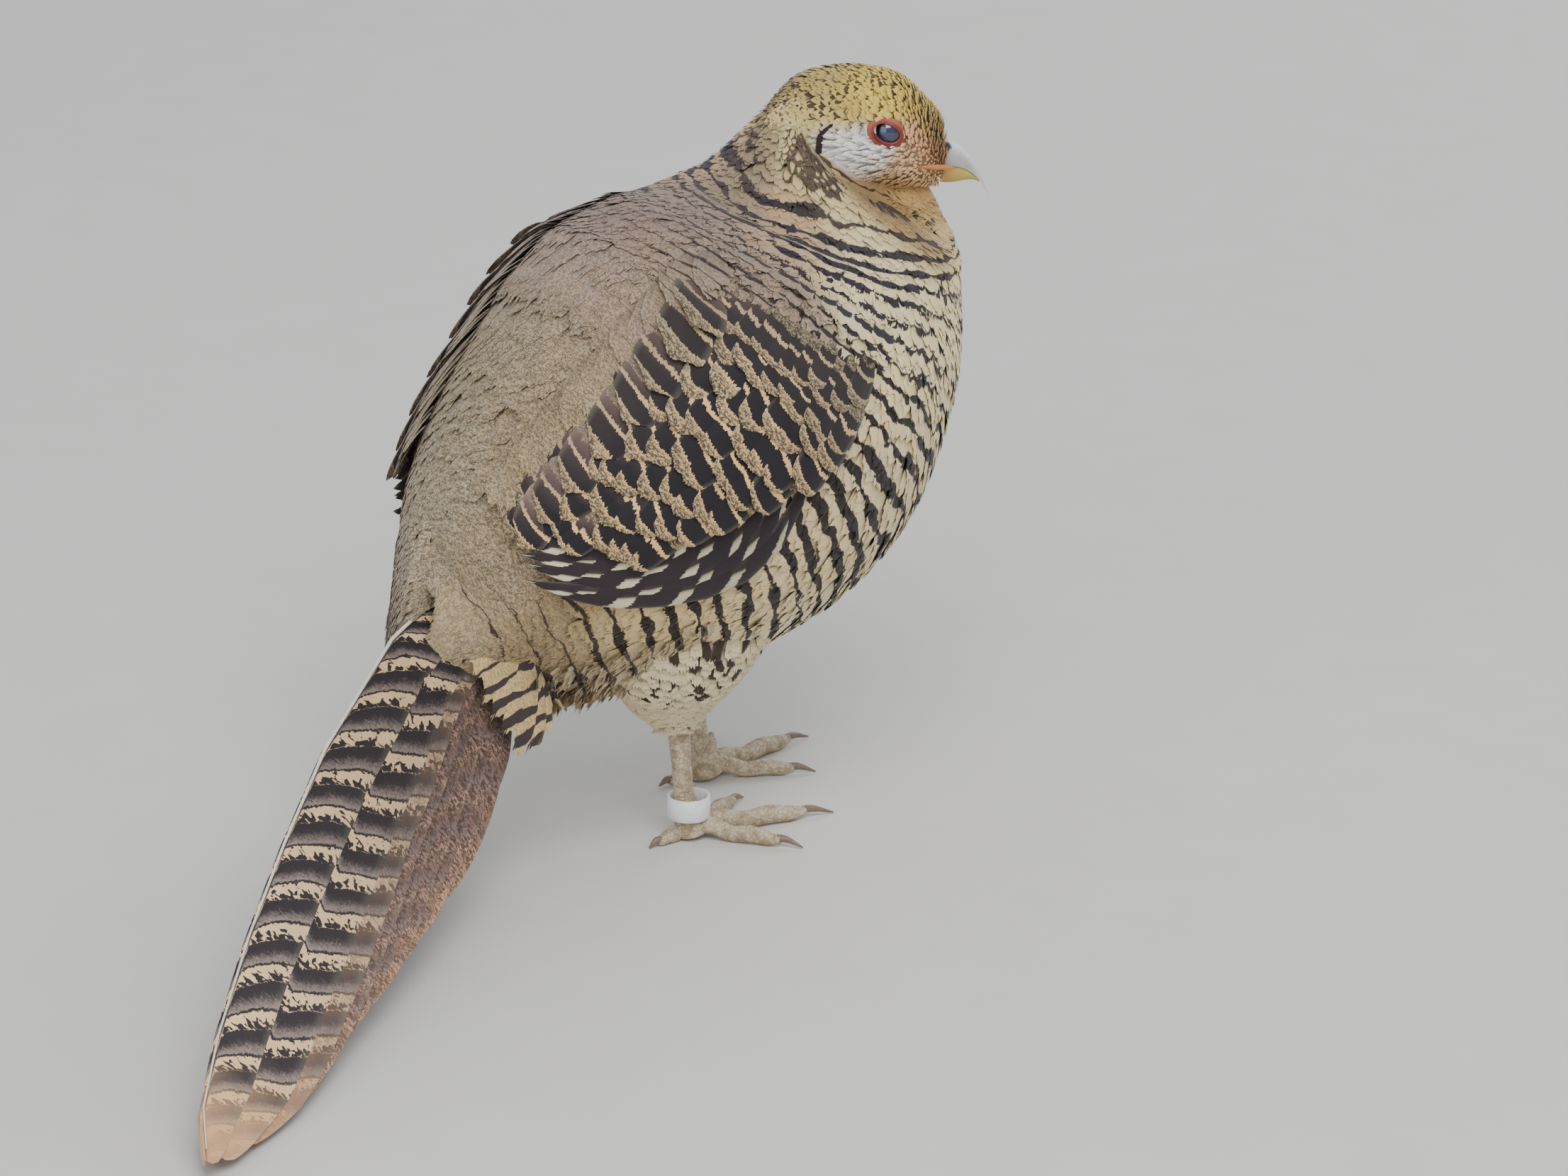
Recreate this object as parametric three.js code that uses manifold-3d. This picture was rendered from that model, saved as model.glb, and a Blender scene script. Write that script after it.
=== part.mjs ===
// A golden pheasant hen, life size and standing, in millimetres with +Z up.
// The bird faces -Y, its right side is -X, and its feet and the end of its tail lie on the plane Z = 0.
import * as THREE from "three";
import { mergeVertices } from "three/addons/utils/BufferGeometryUtils.js";
import Module from "manifold-3d";

const wasm = await Module();
wasm.setup();

// Clearance kept between neighbouring pieces.
const GAP = 0.3;

// Trunk and neck, from the tail base to the back of the head: each station gives how far it is
// forward of the standing point, its height, its shift to the left, its half width and half height.
const TRUNK = [
  [-92, 95, 0, 24, 26],
  [-82, 99, 0, 35, 38],
  [-64, 109, 0, 49, 54],
  [-36, 125, 0, 66, 70],
  [-5, 141, 0, 78, 83],
  [28, 161, 0, 80, 87],
  [56, 188, 0, 70, 75],
  [72, 214, -2, 54, 56],
  [77, 236, -6, 39, 40],
  [76, 253, -9, 27, 27],
];
const TRUNK_SIDES = 32;
const TRUNK_STEPS = 16;
const RUMP_STEPS = 4;
const NECK_STARTS = 0.74;
const NECK_STEPS = 6;

// Head: where its middle lies, how far it is turned to the right and bowed, and its stations along
// the face: distance forward of the middle, rise of the axis, half width and half height.
const HEAD_FORWARD = 90;
const HEAD_HEIGHT = 254;
const HEAD_LEFT = -10;
const HEAD_TURN = 35;
const HEAD_BOW = 4;
const HEAD = [
  [-41, -8, 9, 9],
  [-36, -4, 14.5, 15],
  [-28, -1, 19.5, 21.5],
  [-16, 0, 22.5, 25],
  [-4, 0, 22.5, 26],
  [8, -0.5, 19.5, 24],
  [17, -3.5, 15.5, 19],
  [23.5, -7, 11, 15],
  [28, -12, 7, 8.4],
];
const HEAD_SIDES = 24;
const HEAD_STEPS = 14;

// Bill, in the head's frame: heights of the ridge, the mouth line and the chin at the root, how far
// each falls towards the tip, and the half width at the root.
const BILL_ROOT = 26;
const BILL_LENGTH = 17.4;
const LOWER_BILL_LENGTH = 13.6;
const BILL_HALF_WIDTH = 6;
const RIDGE_HEIGHT = -4.5;
const RIDGE_FALL = 20.1;
const MOUTH_HEIGHT = -12.5;
const MOUTH_FALL = 11.9;
const CHIN_HEIGHT = -20.2;
const CHIN_FALL = 1.4;
const NOSTRIL = { forward: 30.5, out: 4.6, up: -8.8, long: 1.9, high: 0.9, deep: 1.2 };
const GAPE_LENGTH = 9;

// Eye: radius of the ball, how far it sits forward, up and out in the head, and the oval of its lids.
const EYE_RADIUS = 6;
const EYE_FORWARD = 4.2;
const EYE_UP = 3.4;
const EYE_OUT = 14.2;
const LID_HALF_LENGTH = 5.7;
const LID_HALF_HEIGHT = 4.2;
const LID_THICK = 1.3;
const LID_SLANT = 22;

// Wing, laid on the flank. Places are a share of the spine and an angle in degrees from the middle
// of the back. Each row of feathers gives the places of its tips at the upper and lower end, the
// same for its roots, how many it holds, its half width in degrees and its lift at the tips.
const WING_CORE = 1.5;
const WING_CORE_RINGS = [7, 13];
const WING_CORE_SIDES = [3, 8];
const CORE_STAND = 0.8;
const VANE_ROOT_LIFT = 1.2;
const WING_STAND = 7;
const WING_ROWS = [
  { count: 6, roots: [[0.405, 72], [0.44, 92]], tips: [[0.07, 57], [0.27, 91]], half: 4.2, lift: 5, tilt: 1.4 },
  { count: 8, roots: [[0.4, 37], [0.44, 86]], tips: [[0.09, 38], [0.34, 89]], half: 5.4, lift: 8.4, tilt: 1.4 },
  { count: 8, roots: [[0.46, 37], [0.53, 86]], tips: [[0.24, 38], [0.39, 89]], half: 5.4, lift: 8.2, tilt: 1.4 },
  { count: 8, roots: [[0.53, 37], [0.58, 85]], tips: [[0.35, 38], [0.46, 88]], half: 5.4, lift: 8, tilt: 1.4 },
  { count: 8, roots: [[0.595, 38], [0.61, 83]], tips: [[0.45, 38], [0.53, 86]], half: 5.4, lift: 7.4, tilt: 1.4 },
];
const VANE_THICK = 0.6;
const VANE_SHAPE = [
  [0, 0.45],
  [0.3, 0.95],
  [0.7, 1],
  [0.9, 0.76],
  [1, 0.3],
];

// Tail: stations of its ridge from inside the rump to the tip, each as left, forward and height,
// and the slopes of its two sides at the rump and at the tip.
const TAIL_RIDGE = [
  [0, -84, 112],
  [-12, -120.5, 99],
  [-52, -173, 82],
  [-85, -210, 66],
  [-114.5, -242, 50],
  [-146, -273, 33],
  [-167, -291.5, 20],
  [-182.5, -299.7, 9],
];
const RIGHT_SLOPE = [52, 44];
const LEFT_SLOPE = [64, 80];

// Tail feathers, from the middle pair outwards: share of the ridge that each reaches, then how far
// down the slope its middle lies at the root, half way along and at the tip, and its half width.
// The left half is folded more tightly, by a share of those distances half way and at the tip.
const TAIL_PAIRS = [
  [1, 7, 6.5, -0.5, 14],
  [0.96, 13, 23, 7, 15],
  [0.88, 16, 33, 20, 14],
  [0.8, 18, 39, 29, 13],
  [0.71, 20, 45, 37, 12],
  [0.63, 24, 51, 45, 11],
  [0.55, 27, 55, 51, 10],
  [0.47, 30, 59, 56, 9],
  [0.39, 32, 62, 60, 8],
];
const LEFT_FOLD = [0.6, 0.5];
const TAIL_LAYER = 1.25;
const RIDGE_SLIT = 0.3;
const INNER_STEP = 2.2;
const RUMP_ENDS = 0.11;
const COVERTS = { count: 8, spread: 48, middle: 0.34, side: 0.22, half: 9, girth: 36 };
const COVERT_LAYER = 2.8;

// Legs: sideways and forward place of each foot, height where the shank leaves the feathers.
const RIGHT_FOOT = { left: -22, forward: 0 };
const LEFT_FOOT = { left: 23, forward: 37 };
const SHANK_TOP = 46;
const SHANK_LEAN = -6;
const SHANK_RADIUS = 3.7;
const RING_RADIUS = 7.9;
const RING_WALL = 1;
const RING_HEIGHT = 8.5;

const radians = THREE.MathUtils.degToRad;
const lerp = THREE.MathUtils.lerp;

// A closed skin over a row of rings that all have the same number of points. On a thin piece the
// second half of each ring is the underside, whose faces are split along the same diagonals.
function loft(rings, thin = false) {
  const count = rings[0].length;
  const points = rings.flat();
  const middles = [rings[0], rings[rings.length - 1]].map((ring) =>
    ring.reduce((sum, p) => sum.add(p), new THREE.Vector3()).divideScalar(count),
  );
  const index = [];
  for (let r = 0; r + 1 < rings.length; r++) {
    for (let i = 0; i < count; i++) {
      const j = (i + 1) % count;
      const a = r * count + i;
      const b = r * count + j;
      if (thin && i >= count / 2) index.push(a, b, a + count, b, b + count, a + count);
      else index.push(a, b, b + count, a, b + count, a + count);
    }
  }
  const first = points.length;
  const last = first + 1;
  const top = (rings.length - 1) * count;
  for (let i = 0; i < count; i++) {
    const j = (i + 1) % count;
    index.push(first, j, i, last, top + i, top + j);
  }
  const all = [...points, ...middles];
  const geometry = new THREE.BufferGeometry();
  geometry.setAttribute("position", new THREE.Float32BufferAttribute(all.flatMap((p) => p.toArray()), 3));
  geometry.setIndex(index);
  return geometry;
}

// The solid that a closed geometry bounds.
function solid(geometry) {
  const bare = new THREE.BufferGeometry();
  bare.setAttribute("position", geometry.getAttribute("position"));
  bare.setIndex(geometry.index);
  const merged = mergeVertices(bare, 1e-4);
  const made = new wasm.Manifold(
    new wasm.Mesh({
      numProp: 3,
      vertProperties: new Float32Array(merged.attributes.position.array),
      triVerts: new Uint32Array(merged.index.array),
    }),
  );
  if (made.volume() > 0) return made;
  const flipped = new Uint32Array(merged.index.array).reverse();
  return new wasm.Manifold(
    new wasm.Mesh({
      numProp: 3,
      vertProperties: new Float32Array(merged.attributes.position.array),
      triVerts: flipped,
    }),
  );
}

function moved(geometry, matrix) {
  return solid(geometry.clone().applyMatrix4(matrix));
}

function joined(solids) {
  return solids.reduce((all, one) => all.add(one));
}

// The outer surface of the largest body alone.
function largest(made) {
  return made
    .decompose()
    .reduce((best, one) => (one.volume() > best.volume() ? one : best));
}

const bird = new THREE.Group();

function addNode(name, made, colour, roughness = 0.8, metalness = 0) {
  const mesh = largest(made).getMesh();
  const geometry = new THREE.BufferGeometry();
  const step = mesh.numProp;
  const positions = new Float32Array(mesh.numVert * 3);
  for (let i = 0; i < mesh.numVert; i++) {
    positions.set(mesh.vertProperties.subarray(i * step, i * step + 3), i * 3);
  }
  geometry.setAttribute("position", new THREE.BufferAttribute(positions, 3));
  geometry.setIndex(new THREE.BufferAttribute(new Uint32Array(mesh.triVerts), 1));
  geometry.computeVertexNormals();
  const material = new THREE.MeshStandardMaterial({ color: colour, roughness, metalness });
  const node = new THREE.Mesh(geometry, material);
  node.name = name;
  bird.add(node);
  return node;
}

// Trunk and neck share one spine, so that their surfaces run into each other.
const spine = new THREE.CatmullRomCurve3(
  TRUNK.map(([forward, height, left]) => new THREE.Vector3(left, -forward, height)),
  false,
  "catmullrom",
  0.5,
);
const girth = new THREE.CatmullRomCurve3(
  TRUNK.map(([, , , wide, high]) => new THREE.Vector3(wide, high, 0)),
  false,
  "catmullrom",
  0.5,
);

// The trunk's axes at a place along the spine: forward, up and left.
function trunkFrame(t) {
  const ahead = spine.getTangent(t);
  const up = new THREE.Vector3().crossVectors(ahead, new THREE.Vector3(1, 0, 0)).normalize();
  const left = new THREE.Vector3().crossVectors(up, ahead).normalize();
  return { centre: spine.getPoint(t), size: girth.getPoint(t), up, left };
}

// A point of the trunk's surface, by its place along the spine and its angle from the middle of the
// back, positive to the left, lifted off the surface by a given amount.
function trunkPoint(t, angle, lift = 0) {
  const { centre, size, up, left } = trunkFrame(t);
  return centre
    .addScaledVector(up, (size.y + lift) * Math.cos(angle))
    .addScaledVector(left, (size.x + lift) * Math.sin(angle));
}

function trunkLoft(from, to, steps, lift) {
  const rings = [];
  for (let r = 0; r <= steps; r++) {
    const t = lerp(from, to, r / steps);
    const ring = [];
    for (let i = 0; i < TRUNK_SIDES; i++) {
      ring.push(trunkPoint(t, (2 * Math.PI * i) / TRUNK_SIDES, lift));
    }
    rings.push(ring);
  }
  return solid(loft(rings));
}

const NECK_SHARE = GAP / 320;
const trunk = trunkLoft(RUMP_ENDS, NECK_STARTS, TRUNK_STEPS, 0);
const trunkRoom = trunkLoft(RUMP_ENDS - NECK_SHARE, NECK_STARTS + NECK_SHARE, TRUNK_STEPS, GAP);
const rump = trunkLoft(0, RUMP_ENDS - NECK_SHARE, RUMP_STEPS, 0);
const rumpRoom = trunkLoft(0, RUMP_ENDS - NECK_SHARE, RUMP_STEPS, GAP);

// The head's frame: its middle, turned and bowed.
const headMatrix = new THREE.Matrix4()
  .makeTranslation(HEAD_LEFT, -HEAD_FORWARD, HEAD_HEIGHT)
  .multiply(new THREE.Matrix4().makeRotationZ(radians(-HEAD_TURN)))
  .multiply(new THREE.Matrix4().makeRotationX(radians(HEAD_BOW)));

// A point in the head's own frame: forward, left and up.
function headPoint(forward, left, up) {
  return new THREE.Vector3(left, -forward, up).applyMatrix4(headMatrix);
}

const faceLine = new THREE.CatmullRomCurve3(
  HEAD.map(([forward, rise]) => new THREE.Vector3(0, forward, rise)),
  false,
  "catmullrom",
  0.5,
);
const faceGirth = new THREE.CatmullRomCurve3(
  HEAD.map(([, , wide, high]) => new THREE.Vector3(wide, high, 0)),
  false,
  "catmullrom",
  0.5,
);

function headLoft(lift) {
  const rings = [];
  for (let r = 0; r <= HEAD_STEPS; r++) {
    const middle = faceLine.getPoint(r / HEAD_STEPS);
    const size = faceGirth.getPoint(r / HEAD_STEPS);
    const end = -1.4 * lift * Math.cos((Math.PI * r) / HEAD_STEPS);
    const ring = [];
    for (let i = 0; i < HEAD_SIDES; i++) {
      const angle = (2 * Math.PI * i) / HEAD_SIDES;
      ring.push(
        headPoint(
          middle.y + end,
          (size.x + lift) * Math.sin(angle),
          middle.z + (size.y + lift) * Math.cos(angle),
        ),
      );
    }
    rings.push(ring);
  }
  return solid(loft(rings));
}

const headRoom = headLoft(GAP);

// A point of the bill's or the mouth's outline, by its share of the bill's length.
const ridgeHeight = (f) => RIDGE_HEIGHT - RIDGE_FALL * f ** 2.2;
const mouthHeight = (f) => MOUTH_HEIGHT - MOUTH_FALL * f ** 3;
const chinHeight = (f) => CHIN_HEIGHT - CHIN_FALL * f;

// Half of the bill: a wedge of half-round section between the mouth line and the ridge or the chin.
function bill(length, edge, gap) {
  const rings = [];
  const steps = 8;
  for (let r = 0; r <= steps; r++) {
    const share = r / steps;
    const f = (share * length) / BILL_LENGTH;
    const wide = BILL_HALF_WIDTH * (1 - 0.88 * f ** 1.6) * (edge === chinHeight ? 0.88 : 1);
    const mouth = mouthHeight(f) - gap;
    const blunt = edge === chinHeight ? lerp(1, 0.25, share ** 2) : 1;
    const deep = (edge(f) - mouth) * blunt;
    const ring = [];
    for (let i = 0; i <= 8; i++) {
      const angle = (Math.PI * i) / 8;
      const out = wide * Math.cos(angle);
      ring.push(headPoint(BILL_ROOT + length * share, out, mouth + deep * Math.sin(angle)));
    }
    rings.push(ring);
  }
  return solid(loft(rings));
}

// A ball of given half sizes in the head's frame.
function headBall(forward, left, up, sizes, sides = 14) {
  const place = headMatrix
    .clone()
    .multiply(new THREE.Matrix4().makeTranslation(left, -forward, up))
    .multiply(new THREE.Matrix4().makeScale(...sizes));
  return moved(new THREE.SphereGeometry(1, sides, sides / 2 + 2), place);
}

const eyeBall = (side, radius) =>
  headBall(EYE_FORWARD, side * EYE_OUT, EYE_UP, [radius, radius, radius]);

// The lids: an oval rim round the eye that slants down to the bill.
function lid(side) {
  const ring = new THREE.TorusGeometry(1, LID_THICK / LID_HALF_LENGTH, 6, 18);
  const place = headMatrix
    .clone()
    .multiply(new THREE.Matrix4().makeTranslation(side * (EYE_OUT + 3.4), -EYE_FORWARD, EYE_UP))
    .multiply(new THREE.Matrix4().makeRotationX(radians(LID_SLANT)))
    .multiply(new THREE.Matrix4().makeRotationY(Math.PI / 2))
    .multiply(new THREE.Matrix4().makeScale(LID_HALF_HEIGHT, LID_HALF_LENGTH, LID_HALF_LENGTH));
  return moved(ring, place);
}

// The corner of the mouth: a groove that runs back from the bill on each side of the face.
function gape(side) {
  const groove = [];
  for (let r = 0; r <= 4; r++) {
    const back = (GAPE_LENGTH * r) / 4;
    const size = lerp(1, 0.3, r / 4);
    groove.push(
      [0, 1, 2, 3, 4, 5].map((i) => {
        const angle = (Math.PI * i) / 3;
        const out = side * (8.6 + back * 0.62 + 1.6 * Math.cos(angle));
        return headPoint(BILL_ROOT + 1 - back, out, MOUTH_HEIGHT + size * Math.sin(angle));
      }),
    );
  }
  return solid(loft(groove));
}

const FEATHER = "#b79a62";
const HORN = "#b9ad8c";

let head = headLoft(0);
for (const side of [-1, 1]) {
  head = head.add(lid(side));
}
for (const side of [-1, 1]) {
  head = head.subtract(eyeBall(side, EYE_RADIUS + GAP)).subtract(gape(side));
}
let upperBill = bill(BILL_LENGTH, ridgeHeight, 0);
for (const side of [-1, 1]) {
  const { forward, out, up, long, high, deep } = NOSTRIL;
  upperBill = upperBill.subtract(headBall(forward, side * out, up, [deep, long, high], 8));
}
const lowerBill = bill(LOWER_BILL_LENGTH, chinHeight, GAP);
const neck = trunkLoft(NECK_STARTS + NECK_SHARE, 1, NECK_STEPS, 0).subtract(headRoom);

addNode("torso", trunk, FEATHER);
addNode("neck", neck, "#c9b26a");
addNode("head", head, "#cbb04e");
addNode("bill_upper", upperBill.subtract(headRoom), HORN, 0.45);
addNode("bill_lower", lowerBill.subtract(headRoom), "#c8a860", 0.45);
addNode("eye_left", eyeBall(1, EYE_RADIUS), "#20140c", 0.1);
addNode("eye_right", eyeBall(-1, EYE_RADIUS), "#20140c", 0.1);

// A feather vane laid on a surface, where place(along, across, lift) gives a point of that surface.
// Its middle line runs through the root, a bend half way and the tip, each given as along, across
// and lift. A tilt raises one edge over the next vane, and no vane passes below the ground. The
// shape lists shares of the length with the share of the full width there.
function vane(place, root, bend, tip, half, tilt = 0, shape = VANE_SHAPE) {
  const rings = shape.map(([f, width]) => {
    const [along, middle, rise] = [0, 1, 2].map((n) => {
      const sag = bend[n] - lerp(root[n], tip[n], 0.5);
      return lerp(root[n], tip[n], f) + sag * 4 * f * (1 - f);
    });
    const thick = VANE_THICK * lerp(1, 0.8, f);
    const tops = [];
    const bottoms = [];
    for (const w of [-1, 1]) {
      const across = middle + w * width * half;
      const lift = rise + tilt * w * width;
      const top = place(along, across, lift + thick);
      const bottom = place(along, across, lift);
      const sunk = Math.max(0, -bottom.z);
      top.z += sunk;
      bottom.z += sunk;
      tops.push(top);
      bottoms.unshift(bottom);
    }
    return [...tops, ...bottoms];
  });
  return solid(loft(rings, true));
}

// Wings: a thin core against the flank carries the rows, and the long feathers stand off the rump.
// The core's corners lie over those of the trunk, so that the gap between them is even.
function wing(side) {
  const place = (along, angle, lift) => {
    const stand = WING_STAND * Math.max(0, 1 - along / 0.36) ** 1.5;
    return trunkPoint(along, side * radians(angle), lift + stand);
  };
  const rings = [];
  const [rear, front] = WING_CORE_RINGS;
  const [upper, lower] = WING_CORE_SIDES;
  for (let r = rear; r <= front; r++) {
    const along = lerp(RUMP_ENDS, NECK_STARTS, r / TRUNK_STEPS);
    const ring = [];
    for (let i = upper; i <= lower; i++) {
      const inside = r > rear && r < front && i > upper && i < lower;
      ring.push(place(along, (360 * i) / TRUNK_SIDES, CORE_STAND + (inside ? WING_CORE : 0.6)));
    }
    for (let i = lower; i >= upper; i--) {
      ring.push(place(along, (360 * i) / TRUNK_SIDES, CORE_STAND));
    }
    rings.push(ring);
  }
  const pieces = [solid(loft(rings))];
  for (const { count, roots, tips, half, lift, tilt } of WING_ROWS) {
    for (let i = 0; i < count; i++) {
      const share = i / (count - 1);
      const [rootAt, tipAt] = [roots, tips].map(([upperEnd, lowerEnd]) =>
        [0, 1].map((n) => lerp(upperEnd[n], lowerEnd[n], share)),
      );
      const middle = [0, 1].map((n) => (rootAt[n] + tipAt[n]) / 2);
      const rise = lerp(VANE_ROOT_LIFT, lift, 0.6);
      pieces.push(
        vane(place, [...rootAt, VANE_ROOT_LIFT], [...middle, rise], [...tipAt, lift], half, tilt),
      );
    }
  }
  return joined(pieces).subtract(trunkRoom).subtract(rumpRoom);
}

addNode("wing_right", wing(-1), "#8f7a4e");
addNode("wing_left", wing(1), "#8f7a4e");

// Tail: a roof-shaped fan whose ridge falls from the rump and whose edges lie on the ground.
const ridge = TAIL_RIDGE.map(([left, forward, height]) => new THREE.Vector3(left, -forward, height));
const TAIL_STATIONS = ridge.map((_, i) => i / (ridge.length - 1));

// The tail's axes at a station of its ridge: middle, to the right and up.
function tailStation(i) {
  const before = ridge[Math.max(i - 1, 0)];
  const after = ridge[Math.min(i + 1, ridge.length - 1)];
  const ahead = after.clone().sub(before).normalize();
  const right = new THREE.Vector3().crossVectors(new THREE.Vector3(0, 0, 1), ahead).normalize();
  const up = new THREE.Vector3().crossVectors(ahead, right).normalize();
  return { middle: ridge[i].clone(), right, up };
}

// A point of the tail's roof, by its share of the ridge, its distance down the slope, positive to
// the right, and its height off the roof. The roof is flat between stations, so feathers that lie
// over one another stay apart.
function tailPoint(s, across, lift = 0) {
  const last = TAIL_STATIONS.length - 1;
  const i = Math.min(Math.floor(s * last), last - 1);
  const [near, far] = [i, i + 1].map((n) => {
    const { middle, right, up } = tailStation(n);
    const [start, end] = across > 0 ? RIGHT_SLOPE : LEFT_SLOPE;
    const slope = across === 0 ? 0 : radians(lerp(start, end, n / last));
    return middle
      .addScaledVector(right, across * Math.cos(slope) + Math.sign(across) * lift * Math.sin(slope))
      .addScaledVector(up, -Math.abs(across) * Math.sin(slope) + lift * Math.cos(slope));
  });
  return near.lerp(far, s * last - i);
}

// A covert runs from the rump to the tail's roof: along goes from 0 on the rump to 1 where the
// covert ends, at a share of the ridge.
function covertPoint(reach) {
  return (along, across, lift) => {
    const rooted = trunkPoint(RUMP_ENDS * 0.9, -across / COVERTS.girth, lift);
    return rooted.lerp(tailPoint(reach, across, lift), along);
  };
}

// The share of a tail feather's full width at a share of its length.
const tailWidth = (f) => Math.min(0.45 + 2 * f, 1, 0.25 + 1.55 * (1 - f));

function tail() {
  const pieces = [rump];
  for (const side of [-1, 1]) {
    TAIL_PAIRS.forEach(([reach, rootAt, middleAt, tipAt, half], k) => {
      const inner = RIDGE_SLIT + INNER_STEP * k;
      const place = (s, across, lift) => tailPoint(s, side * Math.max(inner, side * across), lift);
      const layer = -TAIL_LAYER * k;
      const bends = TAIL_STATIONS.map((s) => s / reach).filter((f) => f > 0.04 && f < 0.96);
      const shape = [0, ...bends, 1].map((f) => [f, tailWidth(f)]);
      const [foldHalfWay, foldAtTip] = side > 0 ? [1, 1] : LEFT_FOLD;
      pieces.push(
        vane(
          place,
          [0, side * rootAt, layer],
          [reach / 2, side * middleAt * foldHalfWay, layer],
          [reach, side * tipAt * foldAtTip, layer],
          half,
          0,
          shape,
        ),
      );
    });
  }
  const { count, spread, middle, side, half } = COVERTS;
  for (let i = 0; i < count; i++) {
    const across = ((2 * i) / (count - 1) - 1) * spread;
    const place = covertPoint(lerp(middle, side, Math.abs(across) / spread));
    const over = 1.6 + (i % 2) * COVERT_LAYER;
    pieces.push(vane(place, [0, across * 0.75, -1.5], [0.5, across * 0.95, over], [1, across, over], half));
  }
  return joined(pieces).subtract(trunkRoom);
}

addNode("tail", tail(), "#8a7558");

// Legs: a feathered thigh, a bare shank and a foot of four toes with claws.
function tube(points, radii, sides, each = 2) {
  const line = new THREE.CatmullRomCurve3(points, false, "catmullrom", 0.5);
  const steps = (points.length - 1) * each;
  const rings = [];
  for (let r = 0; r <= steps; r++) {
    const s = r / steps;
    const ahead = line.getTangent(s);
    const hint = Math.abs(ahead.z) > 0.8 ? new THREE.Vector3(0, 1, 0) : new THREE.Vector3(0, 0, 1);
    const left = new THREE.Vector3().crossVectors(hint, ahead).normalize();
    const up = new THREE.Vector3().crossVectors(ahead, left).normalize();
    const at = line.getPoint(s);
    const place = s * (radii.length - 1);
    const k = Math.min(Math.floor(place), radii.length - 2);
    const [wide, high] = [0, 1].map((n) => lerp(radii[k][n], radii[k + 1][n], place - k));
    const ring = [];
    for (let i = 0; i < sides; i++) {
      const angle = (2 * Math.PI * i) / sides;
      ring.push(
        at
          .clone()
          .addScaledVector(left, wide * Math.cos(angle))
          .addScaledVector(up, high * Math.sin(angle)),
      );
    }
    rings.push(ring);
  }
  return solid(loft(rings));
}

// Toes of a foot: direction from straight ahead, reach and thickness.
const TOES = [
  [52, 37, 3.1],
  [12, 49, 3.4],
  [-28, 36, 3.0],
  [175, 17, 2.4],
];

function ground(half) {
  const slab = new THREE.BoxGeometry(400, 800, half);
  slab.translate(0, 0, -half / 2);
  return solid(slab);
}

function foot(place, side) {
  const at = (forward, left, height) =>
    new THREE.Vector3(place.left + left, -(place.forward + forward), height);
  const pieces = [
    tube([at(0, 0, 3.2), at(-1, 0, 9), at(-1.5, 0, 13)], [[6.2, 7], [5, 5.6], [3.9, 4.3]], 12),
  ];
  for (const [turn, reach, thick] of TOES) {
    const angle = radians(turn);
    const ahead = Math.cos(angle);
    const aside = side * Math.sin(angle);
    const out = (run, height) => at(ahead * run, aside * run, height);
    pieces.push(
      tube(
        [out(0, 5), out(reach * 0.3, thick + 1), out(reach * 0.62, thick), out(reach * 0.86, thick * 0.8)],
        [[thick + 0.8, thick + 0.6], [thick, thick + 0.2], [thick, thick + 0.1], [thick * 0.7, thick * 0.85]],
        8,
        1,
      ),
    );
    pieces.push(
      tube(
        [out(reach * 0.8, thick * 0.9), out(reach * 0.98, thick * 0.95), out(reach * 1.16, 0.7)],
        [[thick * 0.55, thick * 0.6], [thick * 0.42, thick * 0.5], [0.3, 0.35]],
        6,
        1,
      ),
    );
  }
  return joined(pieces).subtract(ground(40));
}

function shankFrame(place, height) {
  const share = height / SHANK_TOP;
  return new THREE.Vector3(place.left, -(place.forward + lerp(-1.5, SHANK_LEAN, share)), height);
}

const FOOT_TOP = 13;
const legs = [
  ["right", RIGHT_FOOT, -1],
  ["left", LEFT_FOOT, 1],
];
for (const [name, place, side] of legs) {
  let base = foot(place, side);
  const low = shankFrame(place, FOOT_TOP + GAP);
  const high = shankFrame(place, SHANK_TOP - GAP);
  if (name === "right") {
    const lathe = (grow) =>
      new THREE.LatheGeometry(
        [
          [RING_RADIUS - RING_WALL - grow, -RING_HEIGHT / 2 - grow],
          [RING_RADIUS + grow, -RING_HEIGHT / 2 - grow],
          [RING_RADIUS + grow, RING_HEIGHT / 2 + grow],
          [RING_RADIUS - RING_WALL - grow, RING_HEIGHT / 2 + grow],
          [RING_RADIUS - RING_WALL - grow, -RING_HEIGHT / 2 - grow],
        ].map(([r, h]) => new THREE.Vector2(r, h)),
        36,
      ).rotateX(Math.PI / 2);
    const seat = new THREE.Matrix4().makeTranslation(place.left, -place.forward + 1, 12.6);
    addNode("leg_ring", moved(lathe(0), seat), "#e9e9e4", 0.4);
    base = base.subtract(moved(lathe(GAP), seat));
  }
  addNode(`foot_${name}`, base, "#a8905a", 0.7);
  addNode(`shank_${name}`, tube([low, high], [[SHANK_RADIUS, SHANK_RADIUS], [SHANK_RADIUS + 0.6, SHANK_RADIUS + 1]], 14), "#a8905a", 0.7);
  const hock = shankFrame(place, SHANK_TOP);
  const thigh = tube(
    [
      hock,
      hock.clone().add(new THREE.Vector3(0, 1, 15)),
      new THREE.Vector3(place.left * 1.15, -(place.forward * 0.5 - 8), 84),
      new THREE.Vector3(place.left * 1.2, -(place.forward * 0.3 - 4), 112),
    ],
    [[8, 9], [20, 22], [30, 38], [34, 46]],
    18,
  );
  addNode(`thigh_${name}`, thigh.subtract(trunkRoom), "#c7ab70");
}

// The origin is below the middle of the bird's bounding box.
const box = new THREE.Box3().setFromObject(bird);
const centre = box.getCenter(new THREE.Vector3());
bird.position.set(-centre.x, -centre.y, 0);

export default bird;
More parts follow.
